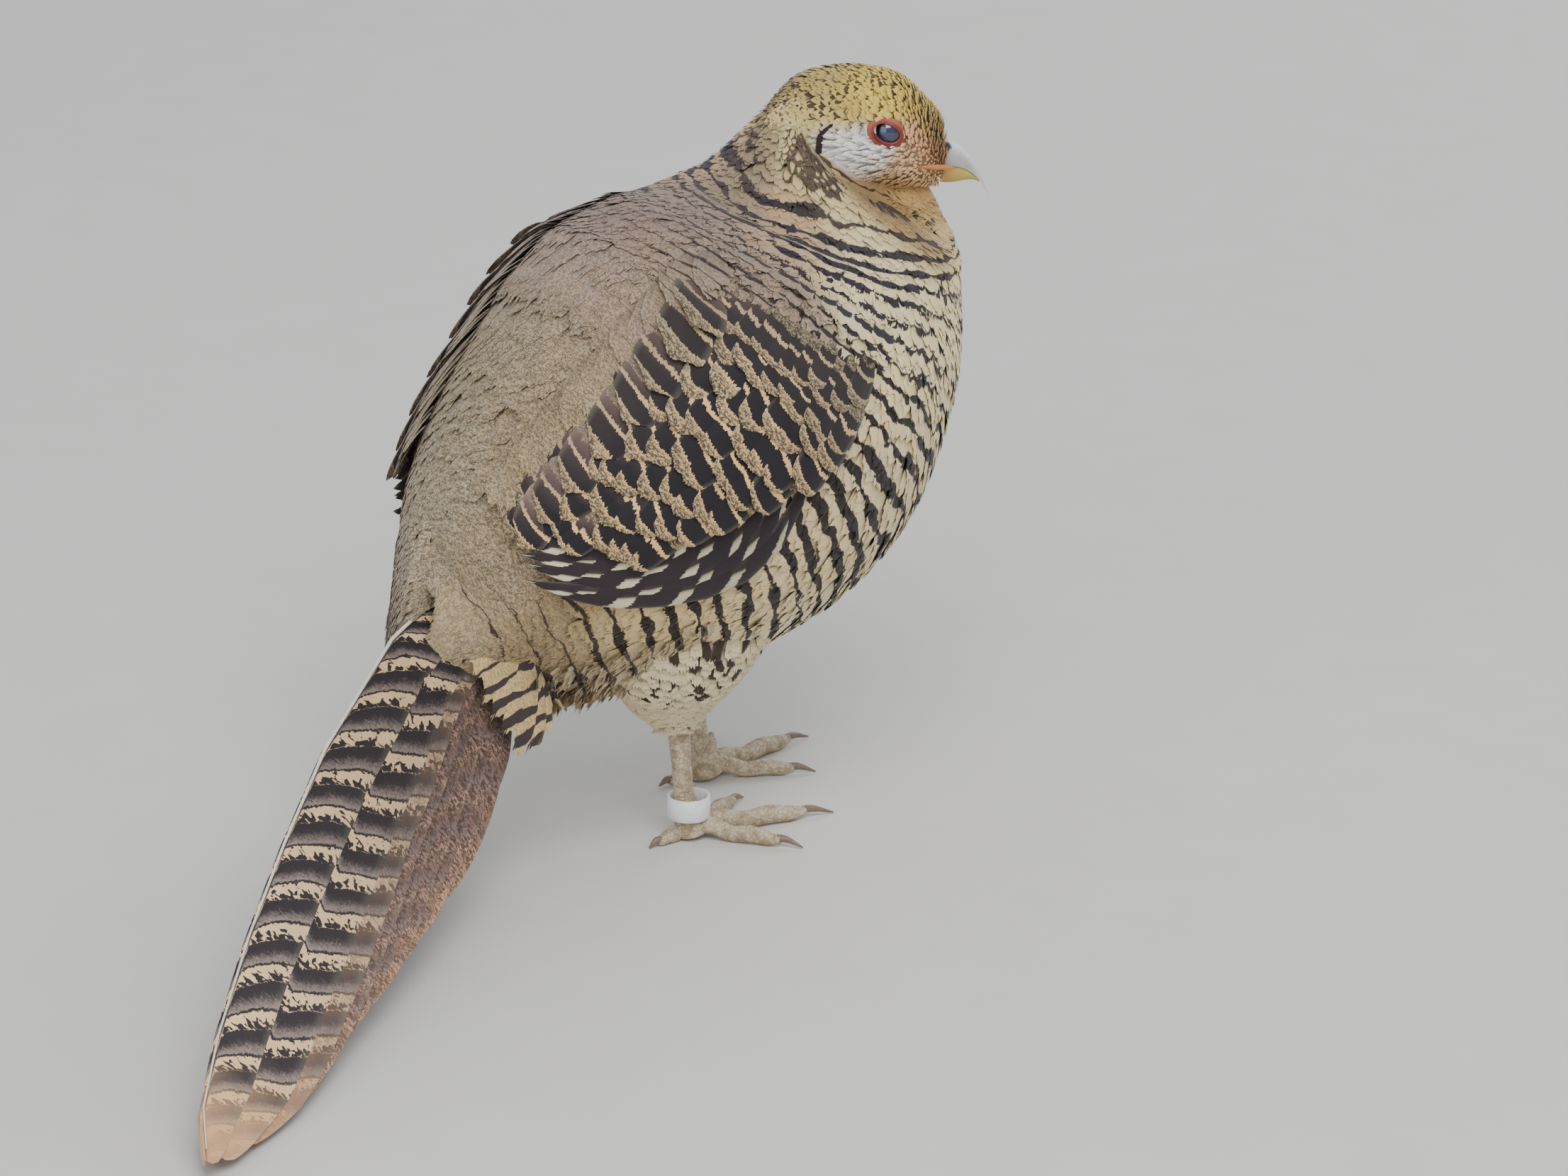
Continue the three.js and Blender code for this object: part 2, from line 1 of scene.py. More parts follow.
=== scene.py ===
import math
import bpy
import numpy as np
from mathutils import Matrix, Vector
from mathutils.bvhtree import BVHTree
from mathutils.kdtree import KDTree


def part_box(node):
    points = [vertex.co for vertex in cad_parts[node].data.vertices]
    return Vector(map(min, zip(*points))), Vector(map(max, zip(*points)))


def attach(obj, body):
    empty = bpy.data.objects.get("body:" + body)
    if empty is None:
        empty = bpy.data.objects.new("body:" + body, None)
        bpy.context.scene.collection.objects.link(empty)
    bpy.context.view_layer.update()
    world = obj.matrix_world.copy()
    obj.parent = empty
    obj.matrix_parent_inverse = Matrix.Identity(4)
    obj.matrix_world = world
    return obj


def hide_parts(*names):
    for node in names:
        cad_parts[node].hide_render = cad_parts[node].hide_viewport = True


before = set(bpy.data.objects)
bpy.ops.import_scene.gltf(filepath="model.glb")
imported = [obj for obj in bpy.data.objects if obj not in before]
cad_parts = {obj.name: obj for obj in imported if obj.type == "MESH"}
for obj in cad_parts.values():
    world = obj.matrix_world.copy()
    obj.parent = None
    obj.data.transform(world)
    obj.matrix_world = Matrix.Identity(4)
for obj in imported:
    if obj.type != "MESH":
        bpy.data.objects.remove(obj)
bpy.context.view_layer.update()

# Camera: it looks over the bird's right hip from behind and a little above, as the photograph does.
# The bird's own places are in millimetres from the point under its body where it stands.
CAMERA_TURN = math.radians(235)
CAMERA_RISE = math.radians(20)
CAMERA_DISTANCE = 2.5
FRAME_SIZE = (2212, 1659)
FOCAL_PIXELS = 9615
FOOT_PIXEL = (975, 1180)
RIGHT_FOOT = (-22, 0)
LEFT_FOOT = (23, -37)

ring_low, ring_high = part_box("leg_ring")
standing = (ring_low + ring_high) / 2 - Vector((RIGHT_FOOT[0], 1, 0)) / 1000
standing.z = 0
back = Vector((
    math.sin(CAMERA_TURN) * math.cos(CAMERA_RISE),
    -math.cos(CAMERA_TURN) * math.cos(CAMERA_RISE),
    math.sin(CAMERA_RISE),
))
aside = Vector((math.cos(CAMERA_TURN), math.sin(CAMERA_TURN), 0))
upward = back.cross(aside)
across_frame = (FOOT_PIXEL[0] - FRAME_SIZE[0] / 2) / FOCAL_PIXELS * CAMERA_DISTANCE
up_frame = (FRAME_SIZE[1] / 2 - FOOT_PIXEL[1]) / FOCAL_PIXELS * CAMERA_DISTANCE
lens = bpy.data.cameras.new("camera")
lens.sensor_width = 36
lens.lens = FOCAL_PIXELS / FRAME_SIZE[0] * lens.sensor_width
camera = bpy.data.objects.new("camera", lens)
foot_place = standing + Vector((RIGHT_FOOT[0] / 1000, 0, 0))
camera.location = foot_place - aside * across_frame - upward * up_frame + back * CAMERA_DISTANCE
camera.rotation_mode = "QUATERNION"
camera.rotation_quaternion = (-back).to_track_quat("-Z", "Y")
bpy.context.scene.collection.objects.link(camera)
bpy.context.scene.camera = camera

# Body form: the trunk and neck are one smooth bag of flesh over the spine, and the head sits on
# it, turned to the right. Places on them are given by a share along and an angle round from the back.
TRUNK = np.array([
    # forward, up, left, half width, half height
    [-92, 95, 0, 24, 26], [-82, 99, 0, 35, 38], [-64, 109, 0, 49, 54], [-36, 125, 0, 66, 70],
    [-5, 141, 0, 78, 83], [28, 161, 0, 80, 87], [56, 188, 0, 70, 75], [72, 214, -2, 54, 56],
    [77, 236, -6, 39, 40], [76, 253, -9, 27, 27],
], float)
HEAD = np.array([
    # forward and up of the head's middle, half width, half height
    [-41, -8, 9, 9], [-36, -4, 14.5, 15], [-28, -1, 19.5, 21.5], [-16, 0, 22.5, 25],
    [-4, 0, 22.5, 26], [8, -0.5, 19.5, 24], [17, -3.5, 15.5, 19], [23.5, -7, 11, 15],
    [28, -12, 7, 8.4],
], float)
HEAD_PLACE = Vector((-10, -90, 254))
HEAD_TURN = math.radians(-35)
HEAD_BOW = math.radians(4)
CROWN_FLATTEN = 0.8
SPINE = np.stack([TRUNK[:, 2], -TRUNK[:, 0], TRUNK[:, 1]], 1)
GIRTH = TRUNK[:, 3:5]


def smooth_line(stations, share):
    """Points of the smooth line through some stations, at shares of it from 0 to 1."""
    stations = np.asarray(stations, float)
    last = len(stations) - 1
    ends = [2 * stations[:1] - stations[1:2], 2 * stations[-1:] - stations[-2:-1]]
    padded = np.concatenate([ends[0], stations, ends[1]])
    place = np.clip(share, 0, 1) * last
    i = np.minimum(place.astype(int), last - 1)
    w = (place - i)[..., None]
    before, near, far, after = [padded[i + k] for k in range(4)]
    leave = (far - before) / 2
    arrive = (after - near) / 2
    cubic = (2 * near - 2 * far + leave + arrive) * w**3
    square = (3 * far - 3 * near - 2 * leave - arrive) * w**2
    return cubic + square + leave * w + near


def unit(vectors):
    return vectors / np.linalg.norm(vectors, axis=-1, keepdims=True)


SHARES = np.linspace(0, 1, 400)
spine_steps = np.linalg.norm(np.diff(smooth_line(SPINE, SHARES), axis=0), axis=1)
SPINE_LENGTH = float(np.cumsum(spine_steps)[-1])


def trunk_axes(along):
    """Middle, up, left and half sizes of the trunk at shares of its spine."""
    inside = np.clip(along, 0, 1)
    step = 1e-4
    ahead = smooth_line(SPINE, np.minimum(inside + step, 1)) - smooth_line(SPINE, inside - step)
    ahead = unit(ahead)
    up = unit(np.cross(ahead, (1.0, 0.0, 0.0)))
    left = unit(np.cross(up, ahead))
    middle = smooth_line(SPINE, inside) + ahead * ((along - inside) * SPINE_LENGTH)[..., None]
    size = smooth_line(GIRTH, inside) * (1 + 7 * np.minimum(along, 0))[..., None]
    return middle, up, left, size


def trunk_point(along, angle, lift=0.0):
    """A point of the trunk; the angle is in degrees from the middle of the back, more to the left."""
    middle, up, left, size = trunk_axes(along)
    turn = np.radians(angle)
    high = ((size[..., 1] + lift) * np.cos(turn))[..., None]
    wide = ((size[..., 0] + lift) * np.sin(turn))[..., None]
    return middle + up * high + left * wide


head_matrix = (
    Matrix.Translation(HEAD_PLACE)
    @ Matrix.Rotation(HEAD_TURN, 4, "Z")
    @ Matrix.Rotation(HEAD_BOW, 4, "X")
)
HEAD_AXES = np.array(head_matrix.to_3x3())


def head_place(forward, left, up):
    """A point given forward, left and up of the head's middle."""
    own = np.stack(np.broadcast_arrays(left, -np.asarray(forward, float), up), -1)
    return own @ HEAD_AXES.T + np.array(HEAD_PLACE)


def head_point(along, angle, lift=0.0):
    """A point of the head, by its share from the nape to the bill and its angle from the crown."""
    station = smooth_line(HEAD, along)
    forward = station[..., 0] - 1.4 * lift * np.cos(math.pi * along)
    turn = np.radians(angle)
    left = (station[..., 2] + lift) * np.sin(turn)
    half_height = station[..., 3] * np.where(np.cos(turn) > 0, CROWN_FLATTEN, 1)
    up = station[..., 1] + (half_height + lift) * np.cos(turn)
    return head_place(forward, left, up)


# The hackle: the cape of feathers that fills the bend between head and neck. It leaves the head
# behind the crown and the throat, and runs into the neck at a share of the spine.
HACKLE_LEAVES = (0.28, 0.82)
HACKLE_ENDS = 0.8
HACKLE_SPAN = 0.2
HACKLE_FULLNESS = 10


def hackle_leaves(angle):
    """The share of the head's length where the hackle leaves it."""
    front = (1 - np.cos(np.radians(angle))) / 2
    return HACKLE_LEAVES[0] + (HACKLE_LEAVES[1] - HACKLE_LEAVES[0]) * front**6


def hackle_point(along, angle, lift=0.0):
    """A point of the hackle, from 0 at the head to 1 where it meets the neck and on over it."""
    front = (1 - np.cos(np.radians(angle))) / 2
    leave = hackle_leaves(angle)
    w = np.clip(along, 0, 1)[..., None]
    end = np.full(np.shape(angle), HACKLE_ENDS)
    top, base = head_point(leave, angle), trunk_point(end, angle)
    off_head = head_point(leave, angle, 1.0) - top
    off_neck = trunk_point(end, angle, 1.0) - base
    gap = np.linalg.norm(base - top, axis=-1, keepdims=True)
    backwards = unit(head_point(leave - 0.02, angle) - top) * gap * 0.75 * (1 - front)[..., None]
    downwards = unit(trunk_point(end - 0.01, angle) - base) * gap * 0.7
    point = (2 * w**3 - 3 * w**2 + 1) * top + (w**3 - 2 * w**2 + w) * backwards
    point = point + (3 * w**2 - 2 * w**3) * base + (w**3 - w**2) * downwards
    off = unit(off_head * (1 - w) + off_neck * w)
    fullness = HACKLE_FULLNESS * w * (1 - w) * front[..., None] ** 3
    point = point + off * (np.asarray(lift)[..., None] + fullness)
    past = trunk_point(HACKLE_ENDS - HACKLE_SPAN * np.maximum(along - 1, 0), angle, lift)
    return np.where((along > 1)[..., None], past, point)


# Skin: one soft sheet over trunk, neck, head and thighs, just under the coat. It is dyed like the
# feathers above it, so that no bare place shows where they part.
COAT_DEPTH = 2.6
HACKLE_COAT_DEPTH = 3.4
HEAD_COAT_DEPTH = 1.5
SKIN_GRAIN = 0.0028
HEAD_LENGTH = 72


def tone(code):
    """A colour from its hexadecimal screen value, as the shaders take it."""
    screen = np.array([int(code[i:i + 2], 16) for i in (0, 2, 4)]) / 255
    return np.where(screen <= 0.04045, screen / 12.92, ((screen + 0.055) / 1.055) ** 2.4)


# Plumage of the trunk: place along and round, ground, dark markings, their share and the flecks.
TRUNK_DYES = [
    (0.02, 0, "b09f84", "42332a", 0.0, 0.9),
    (0.02, 70, "b5a17e", "43362c", 0.2, 0.6),
    (0.03, 150, "ad966f", "453629", 0.35, 0.2),
    (0.15, 0, "aa9a80", "453628", 0.0, 0.9),
    (0.15, 50, "aa9778", "453628", 0.0, 0.9),
    (0.15, 100, "a28b65", "46382b", 0.1, 0.6),
    (0.12, 150, "b39d74", "5a4a3a", 0.0, 0.1),
    (0.35, 0, "a9987b", "483826", 0.0, 0.9),
    (0.35, 35, "a89574", "483826", 0.0, 0.9),
    (0.5, 0, "a58f80", "503e36", 0.0, 0.75),
    (0.5, 30, "a58f78", "473628", 0.05, 0.75),
    (0.64, 0, "937a6e", "44322c", 0.05, 0.65),
    (0.62, 35, "9d8772", "352c2b", 0.25, 0.6),
    (0.72, 15, "958172", "3c3032", 0.2, 0.4),
    (0.85, 0, "938169", "463936", 0.3, 0.3),
    (0.97, 0, "a68e64", "4c3d31", 0.45, 0.1),
    (0.97, 45, "cdbb84", "5f503e", 0.42, 0.0),
    (0.93, 75, "cdb988", "5a4c3e", 0.4, 0.1),
    (0.8, 40, "b69775", "2e2630", 0.5, 0.0),
    (0.8, 80, "dfce9f", "2e2630", 0.45, 0.0),
    (0.96, 98, "b5935f", "3d3026", 0.2, 0.5),
    (0.9, 118, "a98a5a", "3d3026", 0.3, 0.6),
    (0.93, 124, "b0884f", "3a2c20", 0.3, 0.6),
    (0.92, 152, "c39b5e", "4a3826", 0.12, 0.5),
    (0.99, 130, "c39a5e", "4a3826", 0.1, 0.4),
    (0.98, 175, "c9a36b", "5a4430", 0.0, 0.1),
    (0.82, 145, "ead9a6", "332c33", 0.33, 0.0),
    (0.72, 110, "e6d5a4", "302a29", 0.36, 0.0),
    (0.7, 160, "ebdcae", "302a29", 0.33, 0.0),
    (0.58, 110, "dfcb9c", "2b2422", 0.42, 0.0),
    (0.55, 150, "e0cfa2", "2f2623", 0.36, 0.0),
    (0.42, 108, "d6c092", "2d2320", 0.42, 0.0),
    (0.3, 108, "d2ba86", "30261f", 0.38, 0.0),
    (0.42, 145, "e2d4ac", "3a2e26", 0.25, 0.0),
    (0.3, 160, "dccba4", "5a4a38", 0.1, 0.0),
]
# Plumage of the head, in the same order.
HEAD_DYES = [
    (0.1, 0, "98814f", "4c3d31", 0.45, 0.1),
    (0.1, 60, "cdbb7c", "6d5f50", 0.38, 0.0),
    (0.2, 90, "cbbd90", "6d5f50", 0.34, 0.0),
    (0.1, 150, "b89a60", "4a3c30", 0.2, 0.3),
    (0.35, 0, "b39c58", "4b3a28", 0.4, 0.1),
    (0.3, 35, "b29a58", "4e3d2c", 0.45, 0.1),
    (0.3, 66, "c3ad6c", "4e3d2c", 0.42, 0.1),
    (0.43, 68, "c0a24e", "54422b", 0.34, 0.1),
    (0.5, 25, "cfb254", "5e4a2e", 0.34, 0.1),
    (0.55, 52, "dcbf58", "6a5330", 0.2, 0.0),
    (0.66, 30, "d4b44e", "5a4528", 0.32, 0.1),
    (0.8, 15, "d0b05a", "4a3826", 0.38, 0.2),
    (0.8, 50, "cda75a", "5a4226", 0.3, 0.2),
    (0.9, 35, "c39e54", "3e3024", 0.42, 0.3),
    (0.97, 25, "7a5c38", "2c211c", 0.4, 0.5),
    (0.74, 84, "e2b286", "9a6840", 0.05, 0.1),
    (0.88, 78, "cfa06c", "4a3222", 0.15, 0.3),
    (0.68, 110, "e4c094", "8a6845", 0.05, 0.1),
    (0.85, 130, "e2b982", "8a6845", 0.05, 0.1),
    (0.6, 150, "cba066", "6a4c2c", 0.15, 0.4),
    (0.5, 160, "b18b4e", "4a3826", 0.2, 0.5),
    (0.42, 97, "f1efec", "9a9693", 0.0, 0.3),
    (0.52, 97, "f1efec", "9a9693", 0.0, 0.3),
    (0.38, 112, "eae8e4", "9a9693", 0.0, 0.3),
    (0.49, 114, "eeebe8", "9a9693", 0.0, 0.3),
    (0.26, 112, "b9a274", "453626", 0.35, 0.3),
    (0.36, 136, "ab8a52", "453626", 0.3, 0.5),
    (0.45, 140, "b08c50", "3d2f22", 0.25, 0.6),
    (0.57, 134, "c39a60", "4a3826", 0.15, 0.5),
]


def dye(table, along, angle, reach=0.07, turn=17.0):
    """Ground, marking colour, marking share and fleck at places, shaded between the table's rows."""
    total = 0
    parts = np.zeros((*np.shape(along), 8))
    for place, side, ground, mark, share, fleck in table:
        away = ((along - place) / reach) ** 2 + ((np.abs(angle) - side) / turn) ** 2
        weight = np.exp(-away) + 1e-9
        parts += weight[..., None] * np.concatenate([tone(ground), tone(mark), [share, fleck]])
        total = total + weight
    parts /= total[..., None]
    return parts[..., :3], parts[..., 3:6], parts[..., 6], parts[..., 7]


def build_piece(name, points, corners, sizes, finish,
                layers=None, colours=None, rules=None, sharp=50):
    """A piece from points in millimetres; corners lists all faces' corners, sizes how many each has."""
    mesh = bpy.data.meshes.new(name)
    mesh.vertices.add(len(points))
    mesh.vertices.foreach_set("co", (points / 1000 + np.array(standing)).astype(np.float32).ravel())
    mesh.loops.add(len(corners))
    mesh.loops.foreach_set("vertex_index", corners.astype(np.int32))
    mesh.polygons.add(len(sizes))
    mesh.polygons.foreach_set("loop_start", (np.cumsum(sizes) - sizes).astype(np.int32))
    mesh.update(calc_edges=True)
    for label, values in (layers or {}).items():
        layer = mesh.uv_layers.new(name=label)
        layer.data.foreach_set("uv", values[corners].astype(np.float32).ravel())
    for label, values in (colours or {}).items():
        layer = mesh.color_attributes.new(label, "FLOAT_COLOR", "POINT")
        solid = np.concatenate([values, np.ones((len(values), 1))], 1)
        layer.data.foreach_set("color", solid.astype(np.float32).ravel())
    if rules is not None:
        layer = mesh.attributes.new("rule", "FLOAT_VECTOR", "POINT")
        layer.data.foreach_set("vector", rules.astype(np.float32).ravel())
    mesh.polygons.foreach_set("use_smooth", np.ones(len(sizes), bool))
    mesh.set_sharp_from_angle(angle=math.radians(sharp))
    mesh.materials.append(finish)
    piece = bpy.data.objects.new(name, mesh)
    bpy.context.scene.collection.objects.link(piece)
    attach(piece, "root")
    return piece


def round_grid(rows, columns, ends=(0, 1)):
    """Two grids: the share of the way along between two ends, and the degrees round from 0 to 360."""
    return np.meshgrid(np.linspace(*ends, rows), np.arange(columns) * 360 / columns, indexing="ij")


def ring_piece(name, points, finish, rule=None, flip=False):
    """A piece whose rows of points each close round it, with both ends capped."""
    rows, columns = points.shape[:2]
    r, c = np.meshgrid(np.arange(rows - 1), np.arange(columns), indexing="ij")
    here, beside = r * columns + c, r * columns + (c + 1) % columns
    quads = np.stack([here, beside, beside + columns, here + columns], -1)
    first = np.arange(columns)[::-1]
    last = np.arange(columns) + (rows - 1) * columns
    corners = np.concatenate([quads.reshape(-1), first, last])
    sizes = np.concatenate([np.full(quads.size // 4, 4), [columns, columns]])
    if flip:
        corners, sizes = corners[::-1], sizes[::-1]
    rules = None if rule is None else np.stack(np.broadcast_arrays(*rule), -1).reshape(-1, 3)
    return build_piece(name, points.reshape(-1, 3), corners, sizes, finish, rules=rules)


class Value:
    """A number, colour or direction that changes over a surface; maths on it adds its nodes."""

    def __init__(self, finish, socket):
        self.finish = finish
        self.socket = socket

    def maths(self, operation, *terms):
        terms = dict(enumerate((self, *terms)))
        return self.finish.node("ShaderNodeMath", {"operation": operation}, terms)

    def __add__(self, other):
        return self.maths("ADD", other)

    def __sub__(self, other):
        return self.maths("SUBTRACT", other)

    def __mul__(self, other):
        return self.maths("MULTIPLY", other)

    def __rsub__(self, other):
        return self.finish.node("ShaderNodeMath", {"operation": "SUBTRACT"}, {0: other, 1: self})

    __radd__ = __add__
    __rmul__ = __mul__


class Finish:
    """A surface's material, and the nodes that vary it."""

    def __init__(self, name, **constants):
        self.material = bpy.data.materials.new(name)
        self.material.use_nodes = True
        self.tree = self.material.node_tree
        self.shader = self.tree.nodes["Principled BSDF"]
        for socket, value in constants.items():
            self.shader.inputs[socket.replace("_", " ")].default_value = value

    def node(self, kind, settings, values, out=0):
        made = self.tree.nodes.new(kind)
        for key, value in settings.items():
            if key == "stops":
                ramp = made.color_ramp
                while len(ramp.elements) < len(value):
                    ramp.elements.new(0.5)
                for element, (place, colour) in zip(ramp.elements, value):
                    element.position = place
                    element.color = (*colour, 1)
            else:
                setattr(made, key, value)
        for key, value in values.items():
            if isinstance(value, Value):
                self.tree.links.new(value.socket, made.inputs[key])
            elif value is not None:
                made.inputs[key].default_value = value
        return Value(self, made.outputs[out])

    def feed(self, socket, value):
        self.tree.links.new(value.socket, self.shader.inputs[socket])

    def noise(self, where, scale, detail=2.0, distortion=0.0):
        return self.node("ShaderNodeTexNoise", {}, {
            "Vector": where, "Scale": scale, "Detail": detail, "Distortion": distortion,
        })

    def step(self, value, low, high):
        """A soft step from 0 to 1 while the value goes from low to high."""
        return self.node("ShaderNodeMapRange", {"interpolation_type": "SMOOTHSTEP"}, {
            "Value": value, "From Min": low, "From Max": high,
        })

    def mix(self, factor, first, second, blend="MIX"):
        colours = [(*c, 1) if isinstance(c, (tuple, np.ndarray)) else c for c in (first, second)]
        return self.node("ShaderNodeMix", {"data_type": "RGBA", "blend_type": blend}, {
            0: factor, 6: colours[0], 7: colours[1],
        }, out=2)

    def bump(self, height, strength, distance):
        self.feed("Normal", self.node("ShaderNodeBump", {}, {
            "Height": height, "Strength": strength, "Distance": distance,
        }, out="Normal"))

    def object_place(self):
        return self.node("ShaderNodeTexCoord", {}, {}, out="Object")

    def grain(self, scale, detail):
        """Even noise through the whole object."""
        return self.noise(self.object_place(), scale, detail)

    def stored(self, label, out="Vector"):
        """What the points of a piece keep under a label."""
        return self.node("ShaderNodeAttribute", {"attribute_name": label}, {}, out=out)

    def split(self, value):
        made = self.tree.nodes.new("ShaderNodeSeparateXYZ")
        self.tree.links.new(value.socket, made.inputs[0])
        return [Value(self, made.outputs[n]) for n in range(3)]


BAR_WANDER = {"body": 1, "wing": 0.35, "tail": 0.2}
# One bar of a feather from its start to its end: dark, washed, speckled.
WING_BAR = [
    (0, (0.05, 1, 1)), (0.13, (0, 1, 1)), (0.2, (0, 0.6, 0.8)), (0.24, (0, 0.2, 0.2)),
    (0.28, (1, 0, 0)), (0.62, (1, 0, 0)), (0.64, (0.3, 0, 0)), (0.73, (0.3, 0, 0)),
    (0.75, (1, 0, 0)), (0.93, (1, 1, 0)), (0.96, (0.1, 1, 1)), (1, (0.05, 1, 1)),
]
TAIL_BAR = [
    (0, (0, 0, 0.75)), (0.1, (0, 0, 0.45)), (0.2, (0, 0, 0.1)), (0.27, (0, 0, 0.3)),
    (0.29, (1, 0, 0)), (0.33, (1, 0.4, 0)), (0.36, (0.35, 1, 0)), (0.5, (0.6, 1, 0)),
    (0.64, (0.9, 1, 0)), (0.74, (1, 0.5, 0)), (0.88, (1, 0, 0)), (0.91, (0, 0, 1)),
    (1, (0, 0, 0.75)),
]


def plumage(name, pattern, roughness):
    """Feather finish: a ground with darker marks along the lie, flecks, barbs from the shaft, and painted
    shade towards each feather's root, where its grey down also shows.
    """
    f = Finish(name, Roughness=roughness, Specular_IOR_Level=0.25, Sheen_Weight=0.12, Sheen_Roughness=0.5)
    ground = f.stored("ground", "Color")
    mark = f.stored("mark", "Color")
    phase, share, fleck = f.split(f.stored("rule"))
    across, along, _ = f.split(f.node("ShaderNodeUVMap", {"uv_map": "vane"}, {}))
    size = f.node("ShaderNodeUVMap", {"uv_map": "size"}, {})
    out_mm, run_mm, _ = f.split(size)
    place = f.object_place()
    off_shaft = (across - 0.5).maths("ABSOLUTE") * 2
    wander = (f.noise(place, 48, 2) - 0.5) * 1.1 + (f.noise(place, 330, 2) - 0.5) * 0.2
    teeth_place = f.node("ShaderNodeCombineXYZ", {}, {0: out_mm * 1.5, 1: run_mm * 0.22, 2: 0.0})
    teeth = f.noise(teeth_place, 1.0, 2) - 0.5
    worm_place = f.node("ShaderNodeMapping", {}, {"Vector": size, "Scale": (0.75, 1.7, 1)})
    worms = f.noise(worm_place, 1.0, 2.0, 1.2)
    fine_flecks = f.step(worms, 0.48, 0.53)
    cycle = (phase + wander * BAR_WANDER[pattern]).maths("FRACT")
    if pattern == "body":
        middle = (cycle - 0.5).maths("ABSOLUTE") * 2
        patches = f.step(f.noise(place, 85, 1), 0.34, 0.58)
        dark = f.step(share * (patches * 0.9 + 0.35) - middle + teeth * 0.08, -0.05, 0.06)
        dark = dark.maths("MAXIMUM", fine_flecks * fleck * 0.75)
        wash = f.noise(place, 28, 2) * 0.35
        washed = f.mix(0.22, ground, mark)
    elif pattern == "wing":
        cycle = (cycle + teeth * 0.16).maths("FRACT")
        zones = f.node("ShaderNodeValToRGB", {"stops": WING_BAR}, {"Fac": cycle})
        dark, wash, speckle = f.split(zones)
        dark = f.step(dark * share + (0.85 - fleck) * 0.4, 0.3, 0.5)
        dark = dark.maths("MAXIMUM", speckle * f.step(worms, 0.45, 0.51) * fleck)
        wash = wash * fleck
        washed = f.mix(0.7, ground, tone("948a6e"))
    else:
        cycle = (cycle + teeth * 0.14).maths("FRACT")
        zones = f.node("ShaderNodeValToRGB", {"stops": TAIL_BAR}, {"Fac": cycle})
        dark, wash, speckle = f.split(zones)
        blotch_place = f.node("ShaderNodeMapping", {}, {"Vector": size, "Scale": (0.42, 0.5, 1)})
        blotches = f.step(f.noise(blotch_place, 1.0, 1.5, 0.6) + speckle * 0.3, 0.68, 0.72)
        dark = f.step(dark + (worms - 0.5) * wash * 0.9, 0.1, 0.95) * share
        worm_bars = f.node("ShaderNodeMapping", {}, {"Vector": size, "Scale": (0.4, 0.85, 1)})
        coarse_flecks = f.step(f.noise(worm_bars, 1.0, 1.5, 1.4), 0.46, 0.52)
        dark = dark.maths("MAXIMUM", blotches * share * (1 - wash)).maths("MAXIMUM", coarse_flecks * fleck)
        wash = wash * share
        washed = f.mix(0.75, ground, tone("756c79"))
    barb_line = run_mm - out_mm.maths("ABSOLUTE") * 0.8
    barb_place = f.node("ShaderNodeCombineXYZ", {}, {0: out_mm * 0.25, 1: barb_line * 2.6, 2: 0.0})
    barbs = f.noise(barb_place, 1.0, 2)
    colour = f.mix(wash, ground, washed)
    colour = f.mix(dark, colour, mark)
    rim = f.step(off_shaft, 0.7, 1.0) * 0.08
    colour = f.mix(rim, colour, tone("d9ccb0"))
    worn = (f.noise(place, 140, 2) - 0.5) * 0.25
    # Brightness from barb streaks, random wear, and darker towards the root: painted shade where the
    # feathers above cover it, together with its grey down.
    light = (barbs - 0.5) * 0.45 + worn + f.step(along, 0.1, 0.75) * 0.32 + 0.7
    shade = f.node("ShaderNodeCombineColor", {}, {0: light, 1: light, 2: light})
    f.feed("Base Color", f.mix(1.0, colour, shade, "MULTIPLY"))
    f.bump(barbs, 0.35, 0.0004)
    return f.material


body_plumage = plumage("body_plumage", "body", 0.82)


def thigh_line(place):
    """Middle points and half sizes of a feathered thigh, from the hock up into the belly."""
    left, back_by = place
    forward = -back_by
    hock = (left, -(forward - 6.0), 46)
    points = [hock, (hock[0], hock[1] + 1, 61), (left * 1.15, -(forward * 0.5 - 8), 84),
              (left * 1.2, -(forward * 0.3 - 4), 112)]
    return np.array(points, float), np.array([[8, 9], [20, 22], [30, 38], [34, 46]], float)


def limb_point(line, sizes, along, angle, lift=0):
    """A point on a limb's surface, by a share of its line and an angle round it in degrees."""
    inside = np.clip(along, 0, 1)
    near, far = np.maximum(inside - 1e-3, 0), np.minimum(inside + 1e-3, 1)
    speed = (smooth_line(line, far) - smooth_line(line, near)) / (far - near)[..., None]
    ahead = unit(speed)
    middle = smooth_line(line, inside) + speed * (along - inside)[..., None]
    steep = np.abs(ahead[..., 2:3]) > 0.8
    hint = np.where(steep, (0.0, 1.0, 0.0), (0.0, 0.0, 1.0))
    left = unit(np.cross(hint, ahead))
    up = unit(np.cross(ahead, left))
    place = inside * (len(sizes) - 1)
    k = np.minimum(place.astype(int), len(sizes) - 2)
    size = sizes[k] + (sizes[k + 1] - sizes[k]) * (place - k)[..., None]
    turn = np.radians(angle)
    wide = ((size[..., 0] + lift) * np.cos(turn))[..., None]
    high = ((size[..., 1] + lift) * np.sin(turn))[..., None]
    return middle + left * wide + up * high


def thigh_surface(foot):
    """The surface of the thigh over a foot, by share, angle and lift."""
    line, sizes = thigh_line(foot)

    def surface(along, angle, lift=0):
        return limb_point(line, sizes, along, angle, lift)

    return surface


ROW_PITCH = 6.4
HEAD_ROW_PITCH = 3.2
BAR_PITCH = np.interp(SHARES, [0, 0.6, 0.76, 0.9, 1], [8.6, 8.6, 7.0, 5.8, 5.0])
BAR_COUNT = np.concatenate([[0], np.cumsum(spine_steps / BAR_PITCH[1:])])
THIGH_SHARE, THIGH_ROUND = 0.3, 160


def trunk_bars(along):
    """How far along the body a place lies, counted in bars of its feathers."""
    return np.interp(along, SHARES, BAR_COUNT)


